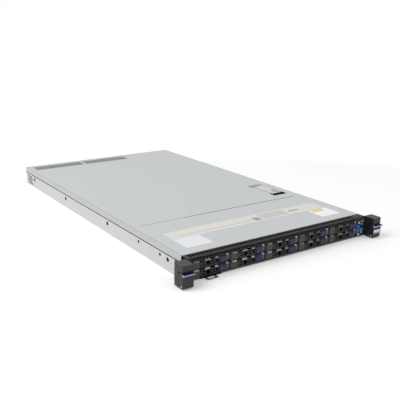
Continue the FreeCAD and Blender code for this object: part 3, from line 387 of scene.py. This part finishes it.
def addScreenCell(bm, cx, cy, stepX, stepY, z):  # one rectangle with an eight-sided hole
    sides = screen["sides"]
    rim, lip, foot = [], [], []
    for corner in range(sides):
        a = 2.0 * math.pi * corner / sides
        ux, uy = math.cos(a), math.sin(a)
        reach = 1.0 / max(abs(ux), abs(uy))
        hx, hy = cx + ux * screen["hole"], cy + uy * screen["hole"]
        rim.append(bm.verts.new(Vector((cx + ux * reach * stepX / 2.0, cy + uy * reach * stepY / 2.0, z)) * mm))
        lip.append(bm.verts.new(Vector((hx, hy, z)) * mm))
        foot.append(bm.verts.new(Vector((hx, hy, z - screen["thick"])) * mm))
    for c in range(sides):
        d = (c + 1) % sides
        bm.faces.new((rim[c], rim[d], lip[d], lip[c]))
        bm.faces.new((lip[c], lip[d], foot[d], foot[c]))


def makeScreens():
    y0 = coverHigh.y - screen["fromRear"]
    rows = int(screen["length"] / screen["pitch"])
    stepY = screen["length"] / rows
    for number, (start, end) in enumerate(screen["windows"], 1):
        columns = int((end - start) / screen["pitch"])
        stepX = (end - start) / columns
        bm = bmesh.new()
        for i in range(columns):
            for j in range(rows):
                addScreenCell(bm, coverLow.x + start + (i + 0.5) * stepX, y0 + (j + 0.5) * stepY,
                              stepX, stepY, top - screen["below"])
        bmesh.ops.remove_doubles(bm, verts=bm.verts, dist=screen["weld"])
        addPiece("vent_screen_%d" % number, bm, "screenSteel", "cover")


makeScreens()
print("covers and vent screens ready")

# bare labels, and the strip behind them with its plain bars
# areas are x0, x1, y0, y1 from the fixed cover's left front corner
labels = {"thick": 0.04, "radius": 1.5, "barThick": 0.02, "barRadius": 0.3,
          "bare": (("cover_label_left", (28.5, 85.5, 24.6, 71.6), "labelWhite"),
                   ("cover_label_right", (358.5, 409.5, 24.6, 68.6), "labelBright"),
                   ("cover_strip", (29.5, 409.5, 72.6, 111.6), "labelCream")),
          "bars": (("strip_rule", (47.5, 220.5, 84.0, 85.6), "labelGrey"),
                   ("strip_mark", (227.5, 243.5, 77.6, 95.6), "labelGrey"),
                   ("strip_plate", (249.5, 315.5, 78.6, 106.6), "labelFaded"),
                   ("strip_bar", (323.5, 351.5, 87.6, 93.6), "labelGrey"),
                   ("label_patch", (363.5, 395.5, 55.6, 67.6), "labelAmber"))}


def makeLabel(name, area, material, radius, z, thick):
    x0, x1, y0, y1 = area
    outline = roundedOutline(lidLow.x + x0, lidLow.x + x1, lidLow.y + y0, lidLow.y + y1, radius, z)
    plate(name, outline, (0, 0, thick), material, "chassis")


for name, area, material in labels["bare"]:
    makeLabel(name, area, material, labels["radius"], top, labels["thick"])
for name, area, material in labels["bars"]:
    makeLabel(name, area, material, labels["barRadius"], top + labels["thick"], labels["barThick"])
print("labels ready")

# seams: painted shade: black strips under the folded sides and in the gap between the covers, a dark grey strip
# in front of that gap, a darker line along each bend; rivets
seams = {"afterEar": 0.6, "beforeEnd": 0.4, "under": (-1.8, -0.03), "depth": (-1.18, 0.04), "edge": 0.05,
         "coverX": (117.5, 413.5), "coverY": (-1.06, 0.26), "coverDrop": (0.9, 0.35),
         "shadowStripY": (-2.26, -1.16), "shadowStripThick": 0.03, "bendWide": 1.6, "bendShort": 0.2, "bendThick": 0.02}
rivets = {"side": ((138.8, 24.0), (212.8, 22.0), (210.8, 6.0), (356.8, 8.0), (560.8, 8.0)), "radius": 1.5,
          "rise": 0.25, "edge": 0.08, "dimple": (20.5, 0.9), "dimpleRadius": 1.6, "dimpleRise": 0.04}


def makeSideSeam(name, side):
    reach = [side * (lidHigh.x + shift) for shift in seams["depth"]]
    startY = corners("left_ear")[1].y + seams["afterEar"]
    slab("side_seam_shadow_" + name, (min(reach), startY, lidLow.z + seams["under"][0]),
         (max(reach), tubHigh.y - seams["beforeEnd"], lidLow.z + seams["under"][1]), "blackMarkAndPaintedShade", "chassis",
         seams["edge"])
    bm = bmesh.new()
    for y, z in rivets["side"]:
        place = (side * lidHigh.x, tubLow.y + y, tubLow.z + z)
        disc(bm, place, (side, 0, 0), rivets["radius"], rivets["rise"])
    addPiece("side_rivets_" + name, bm, "galvanised", "chassis", rivets["edge"])


def makeCoverSeam():
    x0, x1 = [lidLow.x + x for x in seams["coverX"]]
    seamY = [lidHigh.y + y for y in seams["coverY"]]
    shadowStripY = [lidHigh.y + y for y in seams["shadowStripY"]]
    bottom, upper = [top - drop for drop in seams["coverDrop"]]
    slab("cover_seam", (x0, seamY[0], bottom), (x1, seamY[1], upper), "blackMarkAndPaintedShade", "chassis", seams["edge"])
    slab("cover_seam_shadow_strip", (x0, shadowStripY[0], top), (x1, shadowStripY[1], top + seams["shadowStripThick"]), "paintedShadeGrey",
         "chassis")


def makeBends():
    short, wide = seams["bendShort"], seams["bendWide"]
    for cover, body in (("front_cover", "chassis"), ("top_cover", "cover")):
        low, high = corners(cover)
        for name, x0, x1 in (("left", low.x, low.x + wide), ("right", high.x - wide, high.x)):
            slab("%s_bend_%s" % (cover, name), (x0, low.y + short, top),
                 (x1, high.y - short, top + seams["bendThick"]), "edgeShade", body)


makeSideSeam("left", -1)
makeSideSeam("right", 1)
makeCoverSeam()
makeBends()
dimpleX, dimpleY = rivets["dimple"]
# painted shade: the dimple is a disc of the darker copy of the cover steel
roundPlate("cover_dimple", (coverLow.x + dimpleX, coverLow.y + dimpleY, top), (0, 0, 1),
           rivets["dimpleRadius"], rivets["dimpleRise"], "shadedCoverSteel", "cover")
print("seams ready")

# latch pocket: ledges beside the lever; painted shade: a black floor and black walls in front of it and a black
# line in the gap at its left; a hook behind it
ledge = {"depth": 7.55, "drop": 0.45, "start": 2.0, "gap": 0.7, "rearGap": 1.4, "inset": 0.1, "edge": 0.3}
recess = {"front": 16.6, "rear": 1.5, "inset": 0.3, "thick": 0.3, "edge": 0.05}
gapShadow = {"left": 1.9, "rear": 1.0, "below": 0.3, "above": 0.04, "edge": 0.02}
gripShade = {"rear": 1.6, "thick": 0.2, "underLever": 5.4}
hook = {"rise": 0.35, "edge": 0.1,  # x from the lever's left side, y from its rear
        "blocks": ((-7.6, -5.8, -12.0, 4.0), (-7.6, 4.0, 4.0, 5.4), (9.0, 18.0, 4.0, 5.4))}
latchPad = {"x": (15.0, 24.0), "y": (2.0, 29.0), "radius": 1.2, "rise": 0.25,
            "dot": (11.0, 11.0), "dotRadius": 1.6, "dotRise": 0.05}
pocketLeft = latchLow.x - pocket["left"]
pocketRight = latchHigh.x + pocket["right"]
pocketFront = latchLow.y - pocket["front"]
pocketEnd = pocketFront + pocket["length"] - ledge["inset"]
pocketFloor = top - ledge["depth"]
ledgeTop = top - ledge["drop"]
gapLeft = latchLow.x - ledge["gap"]
gapRight = latchHigh.x + ledge["gap"]


def makeLedges():
    start = latchLow.y + ledge["start"]
    for name, x0, x1, y0 in (("left", pocketLeft + ledge["inset"], gapLeft, start),
                             ("right", gapRight, pocketRight - ledge["inset"], start),
                             ("rear", gapLeft, gapRight, latchHigh.y + ledge["rearGap"])):
        slab("latch_ledge_" + name, (x0, y0, pocketFloor), (x1, pocketEnd, ledgeTop), "coverSteel", "cover",
             ledge["edge"])
    slab("latch_gap_shadow", (latchLow.x - gapShadow["left"], start, ledgeTop - gapShadow["below"]),
         (gapLeft, latchHigh.y + gapShadow["rear"], ledgeTop + gapShadow["above"]), "blackMarkAndPaintedShade", "cover",
         gapShadow["edge"])


def makeGripShade():
    x0, x1 = pocketLeft + ledge["inset"], pocketRight - ledge["inset"]
    y0, y1 = pocketFront + ledge["inset"], latchLow.y + gripShade["rear"]
    thick = gripShade["thick"]
    bm = bmesh.new()
    block(bm, (x0, y0, pocketFloor), (x0 + thick, y1, ledgeTop))
    block(bm, (x1 - thick, y0, pocketFloor), (x1, y1, ledgeTop))
    for left, right, upper in ((x0, gapLeft, ledgeTop), (gapRight, x1, ledgeTop),
                               (gapLeft, gapRight, top - gripShade["underLever"])):
        block(bm, (left, y1, pocketFloor), (right, y1 + thick, upper))
    addPiece("grip_shade_walls", bm, "blackMarkAndPaintedShade", "cover")


def makeHook():
    bm = bmesh.new()
    for x0, x1, y0, y1 in hook["blocks"]:
        block(bm, (latchLow.x + x0, latchHigh.y + y0, ledgeTop),
              (latchLow.x + x1, latchHigh.y + y1, ledgeTop + hook["rise"]))
    addPiece("latch_hook", bm, "guardBlack", "cover", hook["edge"])


def makeLatchPad():
    x0, x1 = [latchLow.x + x for x in latchPad["x"]]
    y0, y1 = [latchLow.y + y for y in latchPad["y"]]
    plate("latch_touch_pad", roundedOutline(x0, x1, y0, y1, latchPad["radius"], latchHigh.z),
          (0, 0, latchPad["rise"]), "touchLilac", "latch")
    dotX, dotY = latchPad["dot"]
    roundPlate("latch_pivot_mark", (latchLow.x + dotX, latchLow.y + dotY, latchHigh.z), (0, 0, 1),
               latchPad["dotRadius"], latchPad["dotRise"], "blackMarkAndPaintedShade", "latch")


slab("grip_shade_floor", (pocketLeft + recess["inset"], latchLow.y - recess["front"], pocketFloor),
     (pocketRight - recess["inset"], latchLow.y + recess["rear"], pocketFloor + recess["thick"]), "blackMarkAndPaintedShade",
     "cover", recess["edge"])
makeLedges()
makeGripShade()
makeHook()
makeLatchPad()
print("latch ready")

# trays: x from the bay's left edge, heights from the lever's lower edge, y from the face plane at y = 0
trayFace = {"start": 1.6, "pipeEnd": 4.6, "hingeEnd": 20.2, "buttonStart": 61.0, "end": 79.7, "nub": 3.2,
            "nubFoot": 12.8, "nubFront": 0.55, "bevelFoot": 11.2, "height": 15.4, "bevelDepth": 3.8,
            "blockDepth": 9.0, "skin": 1.0, "slack": 0.1, "fine": 0.01}
sledDrive = {"front": (9.0, 30.0), "start": 15.0, "x": (5.0, 76.5)}
trayTrim = {"tabs": (("hinge", (9.0, 19.4), (0.15, 0.95), "tray"),
                     ("finger", (31.0, 42.0), (0.08, 0.95), "lever"),
                     ("catch", (52.5, 58.8), (0.08, 0.95), "lever")),
            # notch shades: dark blue patches painted on the slope above each button as the shade of its notches
            "notchShades": ((65.0, 69.0), (71.0, 75.0)), "notchShadeShare": (0.15, 0.80),
            "thick": 0.25, "patchEdge": 0.08,
            "edgeX": (78.95, 79.65), "edgeY": (-0.18, 0.02), "edgeZ": (5.0, 15.2), "edgeBevel": 0.05}
# the ring is painted shade on the button's face, round a plain middle
buttonTrim = {"sink": 0.02, "parts": (("ring", 3.6, 0.04, "shadedBlue"), ("middle", 1.7, 0.07, "slateBlue"))}


def onBevel(share, footZ):  # a place on the sloping part of the face, share 0 at its foot
    return (trayFace["bevelDepth"] * share,
            footZ + trayFace["bevelFoot"] + (trayFace["height"] - trayFace["bevelFoot"]) * share)


def bevelPatch(name, bayX, footZ, span, share, material, body):
    x0, x1 = bayX + span[0], bayX + span[1]
    (y0, z0), (y1, z1) = onBevel(share[0], footZ), onBevel(share[1], footZ)
    rise = trayFace["height"] - trayFace["bevelFoot"]
    out = Vector((0.0, -rise, trayFace["bevelDepth"])).normalized() * trayTrim["thick"]
    plate(name, [(x0, y0, z0), (x1, y0, z0), (x1, y1, z1), (x0, y1, z1)], out, material, body,
          trayTrim["patchEdge"])


def facesSlope(p, n):
    return n.z > facing["slope"] and n.y < -facing["slope"]


def isEdgeOn(p, n):  # walls of the lever's openings, painted black as shade
    return abs(n.y) < facing["slope"]


def dressTray(k, bayX, footZ):
    def isNub(p, n):
        return (p.x > bayX + trayFace["end"] - trayFace["nub"] - trayFace["slack"]
                and p.z > footZ + trayFace["nubFoot"] - trayFace["slack"]
                and trayFace["nubFront"] < p.y < trayFace["bevelDepth"] + trayFace["slack"]
                and not facesSlope(p, n))

    def isPipe(p, n):
        return p.x < bayX + trayFace["pipeEnd"] + trayFace["fine"] and p.y < trayFace["blockDepth"]

    def isHingeFace(p, n):
        return (facesForward(p, n) and p.y < trayFace["skin"]
                and bayX + trayFace["pipeEnd"] < p.x < bayX + trayFace["hingeEnd"])

    def isBevel(p, n):
        return facesSlope(p, n) and p.y < trayFace["blockDepth"] and p.x < bayX + trayFace["buttonStart"]

    # painted shade: the block round the button in the darker copy of its blue
    def isButtonBlock(p, n):
        return (p.x > bayX + trayFace["buttonStart"] - trayFace["fine"]
                and p.y < trayFace["blockDepth"] + trayFace["slack"])

    # painted shade: the drive's front behind the lever in black
    def isDriveFront(p, n):
        return facesForward(p, n) and sledDrive["front"][0] < p.y < sledDrive["front"][1]

    def isDrive(p, n):
        return p.y > sledDrive["start"] and bayX + sledDrive["x"][0] < p.x < bayX + sledDrive["x"][1]

    dress("drive_tray_%d" % k, "trayDark",
          [("brightNub", isNub), ("lightPipe", isPipe), ("hingeGrey", isHingeFace), ("trayDark", isBevel),
           ("shadedBlue", isButtonBlock), ("blackMarkAndPaintedShade", isDriveFront), ("driveCase", isDrive)])
    dress("tray_lever_%d" % k, "leverDark", [("blackMarkAndPaintedShade", isEdgeOn)])
    # painted shade: the button's sides in the darker copy of its blue, its front face plain
    dress("tray_button_%d" % k, "shadedBlue", [("slateBlue", facesForward)])


def trimTray(k, bayX, footZ):
    low, high = corners("tray_button_%d" % k)
    middle = ((low.x + high.x) / 2.0, low.y + buttonTrim["sink"], (low.z + high.z) / 2.0)
    for name, radius, lift, material in buttonTrim["parts"]:
        roundPlate("button_%s_%d" % (name, k), middle, (0, -1, 0), radius, lift, material, "button_%d" % k)
    for name, span, share, body in trayTrim["tabs"]:
        bevelPatch("%s_tab_%d" % (name, k), bayX, footZ, span, share, "bevelSilver", "%s_%d" % (body, k))
    # painted shade for the notches above the button
    for number, span in enumerate(trayTrim["notchShades"], 1):
        bevelPatch("button_notch_%d_%d" % (k, number), bayX, footZ, span, trayTrim["notchShadeShare"], "shadedBlue",
                   "tray_%d" % k)
    (x0, x1), (y0, y1), (z0, z1) = trayTrim["edgeX"], trayTrim["edgeY"], trayTrim["edgeZ"]
    slab("face_edge_%d" % k, (bayX + x0, y0, footZ + z0), (bayX + x1, y1, footZ + z1), "edgeGrey",
         "tray_%d" % k, trayTrim["edgeBevel"])


for k in range(1, 11):
    bayX = corners("drive_tray_%d" % k)[0].x - trayFace["start"]
    footZ = corners("tray_lever_%d" % k)[0].z
    dressTray(k, bayX, footZ)
    trimTray(k, bayX, footZ)
print("trays ready")

# black front panel beside the last bay, with its ports and lights; painted shade in black on the cage's front
# faces, in the pin and thread holes and on the data port's floor
panel = {"gap": 0.8, "depth": 1.6, "cageDepth": 12.0, "slack": 0.5, "lights": ((-6.1, -10.7), (-1.1, -10.4)),
         "lightRadius": 1.25, "lightStart": 0.02, "lightRise": 0.4, "lightEdge": 0.12, "lightSides": 14}
video = {"flange": (12.5, 30.8), "flangeRadius": 3.0, "flangeThick": 0.5, "flangeEdge": 0.1, "proud": 1.4,
         "shell": (4.6, 8.85), "insert": (4.35, 8.6), "cut": 1.1, "taper": 1.3, "back": 8.0, "shellEdge": 0.12,
         "insertRise": 0.25, "insertEdge": 0.1, "screwPitch": 25.0}
pins = {"pitch": 2.3, "shift": 0.5, "rowPitch": 2.0, "perRow": 5, "radius": 0.42, "rise": 0.03, "sides": 8}
post = {"start": -0.4, "radius": 2.3, "rise": 0.6, "sides": 6, "edge": 0.2,
        "threadStart": 0.95, "threadRadius": 0.9, "threadRise": 0.06, "threadSides": 12}
dataPort = {"width": 5.7, "height": 13.1, "middle": 8.5, "wall": 0.7, "front": -1.0, "rear": 12.0,
            "floorInset": 0.5, "floorY": (10.8, 11.6), "floorEdge": 0.1,
            "tongueX": (1.2, 3.0), "tongueY": (-0.4, 11.0), "tongueInset": 1.3, "tongueEdge": 0.2}
lastBay = corners("drive_tray_10")[1].x
panelTop = grilleLow.z
portLow, portHigh = corners("front_ports")
videoX = portLow.x + video["flange"][0] / 2.0
videoZ = (portLow.z + portHigh.z) / 2.0


def onPanel(p, n):
    return p.x > lastBay + panel["gap"] and p.y < panel["depth"]


def onCageFront(p, n):
    onTop = n.z > facing["square"] and p.z > panelTop - panel["slack"]
    return onTop or (facesForward(p, n) and p.y < panel["cageDepth"])


def dShape(halfWide, halfHigh, y):  # shorter on its right side, with its four corners cut
    points = []
    for sx, sz in ((-1, -1), (1, -1), (1, 1), (-1, 1)):
        px = videoX + sx * halfWide
        pz = videoZ + sz * (halfHigh - (video["taper"] if sx > 0 else 0.0))
        side, foot = (px, y, pz - sz * video["cut"]), (px - sx * video["cut"], y, pz)
        points += [side, foot] if sx * sz > 0 else [foot, side]
    return points


def makeVideoPort():
    halfX, halfZ = video["flange"][0] / 2.0, video["flange"][1] / 2.0
    outline = roundedOutline(videoX - halfX, videoX + halfX, videoZ - halfZ, videoZ + halfZ,
                             video["flangeRadius"], 0.0)
    flange = plate("video_flange", [(x, 0.0, z) for x, z, _ in outline], (0, -video["flangeThick"], 0),
                   "blackPowderAndShade", "chassis", video["flangeEdge"])
    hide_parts("front_ports")
    plate("video_shell", dShape(*video["shell"], video["back"]), (0, -video["back"] - video["proud"], 0),
          "nickel", "chassis", video["shellEdge"])
    face = -video["proud"] - video["insertRise"]
    plate("video_insert", dShape(*video["insert"], 0.0), (0, face, 0), "videoBlue", "chassis",
          video["insertEdge"])
    bm = bmesh.new()
    for row in (-1, 0, 1):
        for i in range(pins["perRow"]):
            z = videoZ + (i - pins["perRow"] // 2) * pins["pitch"] + row * pins["shift"]
            disc(bm, (videoX + row * pins["rowPitch"], face, z), (0, -1, 0), pins["radius"], pins["rise"],
                 pins["sides"])
    addPiece("video_pin_holes", bm, "blackMarkAndPaintedShade", "chassis")
    for name, side in (("lower", -1), ("upper", 1)):
        z = videoZ + side * video["screwPitch"] / 2.0
        roundPlate("video_post_" + name, (videoX, post["start"], z), (0, -1, 0), post["radius"],
                   video["proud"] + post["rise"], "pinWhite", "chassis", post["edge"], post["sides"])
        roundPlate("video_thread_" + name, (videoX, -video["proud"] - post["threadStart"], z), (0, -1, 0),
                   post["threadRadius"], post["threadRise"], "blackMarkAndPaintedShade", "chassis", 0.0, post["threadSides"])


def makeDataPort():
    x0, x1 = portHigh.x - dataPort["width"], portHigh.x
    middle = portLow.z + dataPort["middle"]
    z0, z1 = middle - dataPort["height"] / 2.0, middle + dataPort["height"] / 2.0
    wall, inset = dataPort["wall"], dataPort["floorInset"]
    bm = bmesh.new()
    for left, right, foot, head in ((x0, x0 + wall, z0, z1), (x1 - wall, x1, z0, z1),
                                    (x0 + wall, x1 - wall, z0, z0 + wall),
                                    (x0 + wall, x1 - wall, z1 - wall, z1)):
        block(bm, (left, dataPort["front"], foot), (right, dataPort["rear"], head))
    addPiece("data_shell", bm, "dataTeal", "chassis")
    slab("data_floor", (x0 + inset, dataPort["floorY"][0], z0 + inset),
         (x1 - inset, dataPort["floorY"][1], z1 - inset), "blackMarkAndPaintedShade", "chassis", dataPort["floorEdge"])
    left, right = [x0 + x for x in dataPort["tongueX"]]
    slab("data_tongue", (left, dataPort["tongueY"][0], z0 + dataPort["tongueInset"]),
         (right, dataPort["tongueY"][1], z1 - dataPort["tongueInset"]), "labelBright", "chassis",
         dataPort["tongueEdge"])


dress("drive_cage", "innerSteel", [("blackPowderAndShade", onPanel), ("blackMarkAndPaintedShade", onCageFront)])
makeVideoPort()
makeDataPort()
for number, (x, z) in enumerate(panel["lights"], 1):
    roundPlate("panel_light_%d" % number, (lidHigh.x + x, panel["lightStart"], top + z), (0, -1, 0),
               panel["lightRadius"], panel["lightRise"], "indicatorWhite", "chassis", panel["lightEdge"],
               panel["lightSides"])
print("front panel ready")

# ears: mouldings, white pin ends, lilac lips on the flaps; painted shade: navy on the lip tops and in a band
# above the lips, black on the right ear's inner side; y and z are from the flap's lower front corner
ear = {"pin": (9.4, 3.8), "pinRadius": 1.6, "blockDepth": 23.2, "lipDrop": 2.0, "lipHeight": 2.6,
       "lipFront": 3.6, "lipRear": 7.7, "slack": 0.1, "shadeBandX": (0.4, 1.4), "shadeBandY": (-0.04, 0.3),
       "shadeBandZ": (0.65, 2.0), "shadeBandEdge": 0.02}
cheek = {"thick": 1.46, "inset": 0.02,
         "outline": ((12.0, 0.04), (15.9, 0.04), (16.65, 1.5), (16.98, 3.8), (16.98, 12.8), (16.0, 12.4),
                     (13.2, 3.8))}
flapTrim = {"label": (11.0, 16.4), "band": (8.4, 10.8), "front": 5.1, "lean": 1.2 / 20.4, "foot": 1.2,
            "inset": 1.5, "thick": 0.12, "edge": 0.04}


def dressEar(side):
    low, high = corners(side + "_ear_latch")
    frontY = corners(side + "_ear")[0].y
    pinY, pinZ = low.y + ear["pin"][0], low.z + ear["pin"][1]
    lipTop = high.z - ear["lipDrop"] - ear["slack"]

    def isPin(p, n):
        return onFold(p, n) and math.hypot(p.y - pinY, p.z - pinZ) < ear["pinRadius"]

    def isAngle(p, n):
        return p.y > frontY + ear["blockDepth"]

    def isInnerInShade(p, n):
        return side == "right" and n.x < -facing["half"] and not isAngle(p, n)

    def isLipFront(p, n):
        return (p.z > lipTop - ear["lipHeight"] and p.y < low.y + ear["lipFront"]
                and n.z < facing["half"])

    def isShadedLipTop(p, n):
        return p.z > lipTop and n.z > facing["half"] and p.y < low.y + ear["lipRear"]

    dress(side + "_ear", "charcoal", [("pinWhite", isPin), ("earSteel", isAngle), ("blackPowderAndShade", isInnerInShade)])
    dress(side + "_ear_latch", "charcoal", [("touchLilac", isLipFront), ("paintedShadeNavy", isShadedLipTop),
                                            ("blackPowderAndShade", isInnerInShade)])
    slab(side + "_lip_shade_band", (low.x + ear["shadeBandX"][0], frontY + ear["shadeBandY"][0], high.z + ear["shadeBandZ"][0]),
         (high.x - ear["shadeBandX"][1], frontY + ear["shadeBandY"][1], high.z + ear["shadeBandZ"][1]), "paintedShadeNavy",
         "chassis", ear["shadeBandEdge"])


def makeCheekCorners(side):  # fills each cheek behind its pin, inside the arc that clears the ear's foot
    low, high = corners(side + "_ear_latch")
    for name, x in (("a", low.x + cheek["inset"]), ("b", high.x - cheek["inset"] - cheek["thick"])):
        plate("%s_cheek_corner_%s" % (side, name), [(x, low.y + y, low.z + z) for y, z in cheek["outline"]],
              (cheek["thick"], 0, 0), "charcoal", side + "_flap")


def flapPlate(name, side, span, material):
    low, high = corners(side + "_ear_latch")
    x0, x1 = low.x + flapTrim["inset"], high.x - flapTrim["inset"]
    y0, y1 = [low.y + flapTrim["front"] - flapTrim["lean"] * (z - flapTrim["foot"]) for z in span]
    z0, z1 = [low.z + z for z in span]
    plate(name, [(x0, y0, z0), (x1, y0, z0), (x1, y1, z1), (x0, y1, z1)], (0, -flapTrim["thick"], 0),
          material, side + "_flap", flapTrim["edge"])


for side in ("left", "right"):
    dressEar(side)
for side in ("left", "right"):
    makeCheekCorners(side)
flapPlate("flap_label", "right", flapTrim["label"], "labelWhite")
flapPlate("flap_band", "right", flapTrim["band"], "labelGrey")
print("ears ready")

# power supplies: dark fan mouth and inlet, black handle
supply = {"mouth": (19.0, 0.5), "left": 1.0, "right": 10.0, "rim": 1.8, "slack": 0.1}


def dressSupply(k):
    low, high = corners("power_supply_%d" % k)

    def isHandle(p, n):
        return p.y > tubHigh.y + supply["slack"]

    def isMouth(p, n):
        return (tubHigh.y - supply["mouth"][0] < p.y < tubHigh.y - supply["mouth"][1]
                and low.z + supply["rim"] < p.z < high.z - supply["rim"]
                and low.x + supply["left"] < p.x < high.x - supply["right"])

    dress("power_supply_%d" % k, "innerSteel", [("guardBlack", isHandle), ("guardBlack", isMouth)])


for k in (1, 2):
    dressSupply(k)
print("rear ready")

# studio: places and sizes in metres, powers in watts; the camera's own place is in mm
camera = {"place": (-739.9, -796.2, 423.8), "azimuth": -34.56, "elevation": 16.314, "roll": 0.609,
          "focal": 613.2, "sensor": 36.0, "frame": 400.0, "near": 0.01, "far": 50.0}
studio = {"floorSize": 12.0, "floorDrop": 0.0004, "floorColor": (0.92, 0.92, 0.92, 1.0), "floorRough": 0.9,
          "fade": (0.8, 2.4), "glow": 0.16, "worldLight": 0.62, "white": (1.0, 1.0, 1.0, 1.0)}
lamps = (("keyLamp", (-1.7, 0.5, 2.2), (0, 0.3, 0), (1.6, 1.6), 28.0),
         ("glintLamp", (0.91, -0.77, 1.28), (-0.1, 0.0, 0.02), (0.4, 0.4), 1.6),
         ("sideLamp", (-2.2, 0.6, 0.9), (0, 0.4, 0), (1.6, 1.2), 9.6))


def makeCamera():
    az, el, roll = [math.radians(camera[k]) for k in ("azimuth", "elevation", "roll")]
    back = Vector((math.sin(az) * math.cos(el), -math.cos(az) * math.cos(el), math.sin(el)))
    right = (-back).cross(Vector((0, 0, 1))).normalized()
    up = right.cross(-back)
    tiltedRight = math.cos(roll) * right + math.sin(roll) * up
    tiltedUp = -math.sin(roll) * right + math.cos(roll) * up
    data = bpy.data.cameras.new("viewCamera")
    data.sensor_width = camera["sensor"]
    data.lens = camera["focal"] * camera["sensor"] / camera["frame"]
    data.clip_start = camera["near"]
    data.clip_end = camera["far"]
    obj = bpy.data.objects.new("viewCamera", data)
    bpy.context.scene.collection.objects.link(obj)
    turn = Matrix((tiltedRight, tiltedUp, back)).transposed().to_4x4()
    obj.matrix_world = Matrix.Translation(Vector(camera["place"]) * mm) @ turn
    bpy.context.scene.camera = obj


def areaLamp(name, place, target, size, power):
    data = bpy.data.lights.new(name, "AREA")
    data.shape = "RECTANGLE"
    data.size = size[0]
    data.size_y = size[1]
    data.energy = power
    obj = bpy.data.objects.new(name, data)
    bpy.context.scene.collection.objects.link(obj)
    obj.location = place
    obj.rotation_euler = (Vector(target) - Vector(place)).to_track_quat("-Z", "Y").to_euler()


def mathNode(tree, operation, first, second):
    node = tree.nodes.new("ShaderNodeMath")
    node.operation = operation
    tree.links.new(first, node.inputs[0])
    tree.links.new(second, node.inputs[1])
    return node.outputs[0]


def backdropGlow(tree):  # 1 for rays from the camera, and for what gloss and glass show
    path = tree.nodes.new("ShaderNodeLightPath")
    direct = mathNode(tree, "MAXIMUM", path.outputs["Is Camera Ray"], path.outputs["Is Glossy Ray"])
    return mathNode(tree, "MAXIMUM", direct, path.outputs["Is Transmission Ray"])


def makeFloor():
    mesh = bpy.data.meshes.new("studioFloor")
    h = studio["floorSize"]
    mesh.from_pydata([(-h, -h, 0), (h, -h, 0), (h, h, 0), (-h, h, 0)], [], [(0, 1, 2, 3)])
    floor = bpy.data.objects.new("studioFloor", mesh)
    bpy.context.scene.collection.objects.link(floor)
    floor.location.z = cadBounds[0][2] - studio["floorDrop"]
    mat = bpy.data.materials.new("studioFloor")
    mat.use_nodes = True
    tree = mat.node_tree
    shader = tree.nodes["Principled BSDF"]
    shader.inputs["Base Color"].default_value = studio["floorColor"]
    shader.inputs["Roughness"].default_value = studio["floorRough"]
    shader.inputs["Emission Color"].default_value = studio["white"]
    coords = tree.nodes.new("ShaderNodeTexCoord")
    reach = tree.nodes.new("ShaderNodeVectorMath")
    reach.operation = "LENGTH"
    fade = tree.nodes.new("ShaderNodeMapRange")
    for name, value in (("From Min", studio["fade"][0]), ("From Max", studio["fade"][1]),
                        ("To Min", studio["glow"]), ("To Max", 1.0)):
        fade.inputs[name].default_value = value
    tree.links.new(coords.outputs["Object"], reach.inputs[0])
    tree.links.new(reach.outputs["Value"], fade.inputs["Value"])
    glow = mathNode(tree, "MULTIPLY", backdropGlow(tree), fade.outputs["Result"])
    tree.links.new(glow, shader.inputs["Emission Strength"])
    mesh.materials.append(mat)


def makeWorld():
    world = bpy.data.worlds.new("studio")
    bpy.context.scene.world = world
    world.use_nodes = True
    tree = world.node_tree
    tree.nodes.clear()
    out = tree.nodes.new("ShaderNodeOutputWorld")
    mix = tree.nodes.new("ShaderNodeMixShader")
    tree.links.new(backdropGlow(tree), mix.inputs["Fac"])
    for index, strength in ((1, studio["worldLight"]), (2, 1.0)):
        background = tree.nodes.new("ShaderNodeBackground")
        background.inputs["Color"].default_value = studio["white"]
        background.inputs["Strength"].default_value = strength
        tree.links.new(background.outputs[0], mix.inputs[index])
    tree.links.new(mix.outputs[0], out.inputs["Surface"])


bpy.context.scene.view_settings.view_transform = "Standard"
makeCamera()
makeFloor()
makeWorld()
for lamp in lamps:
    areaLamp(*lamp)
print("studio ready")
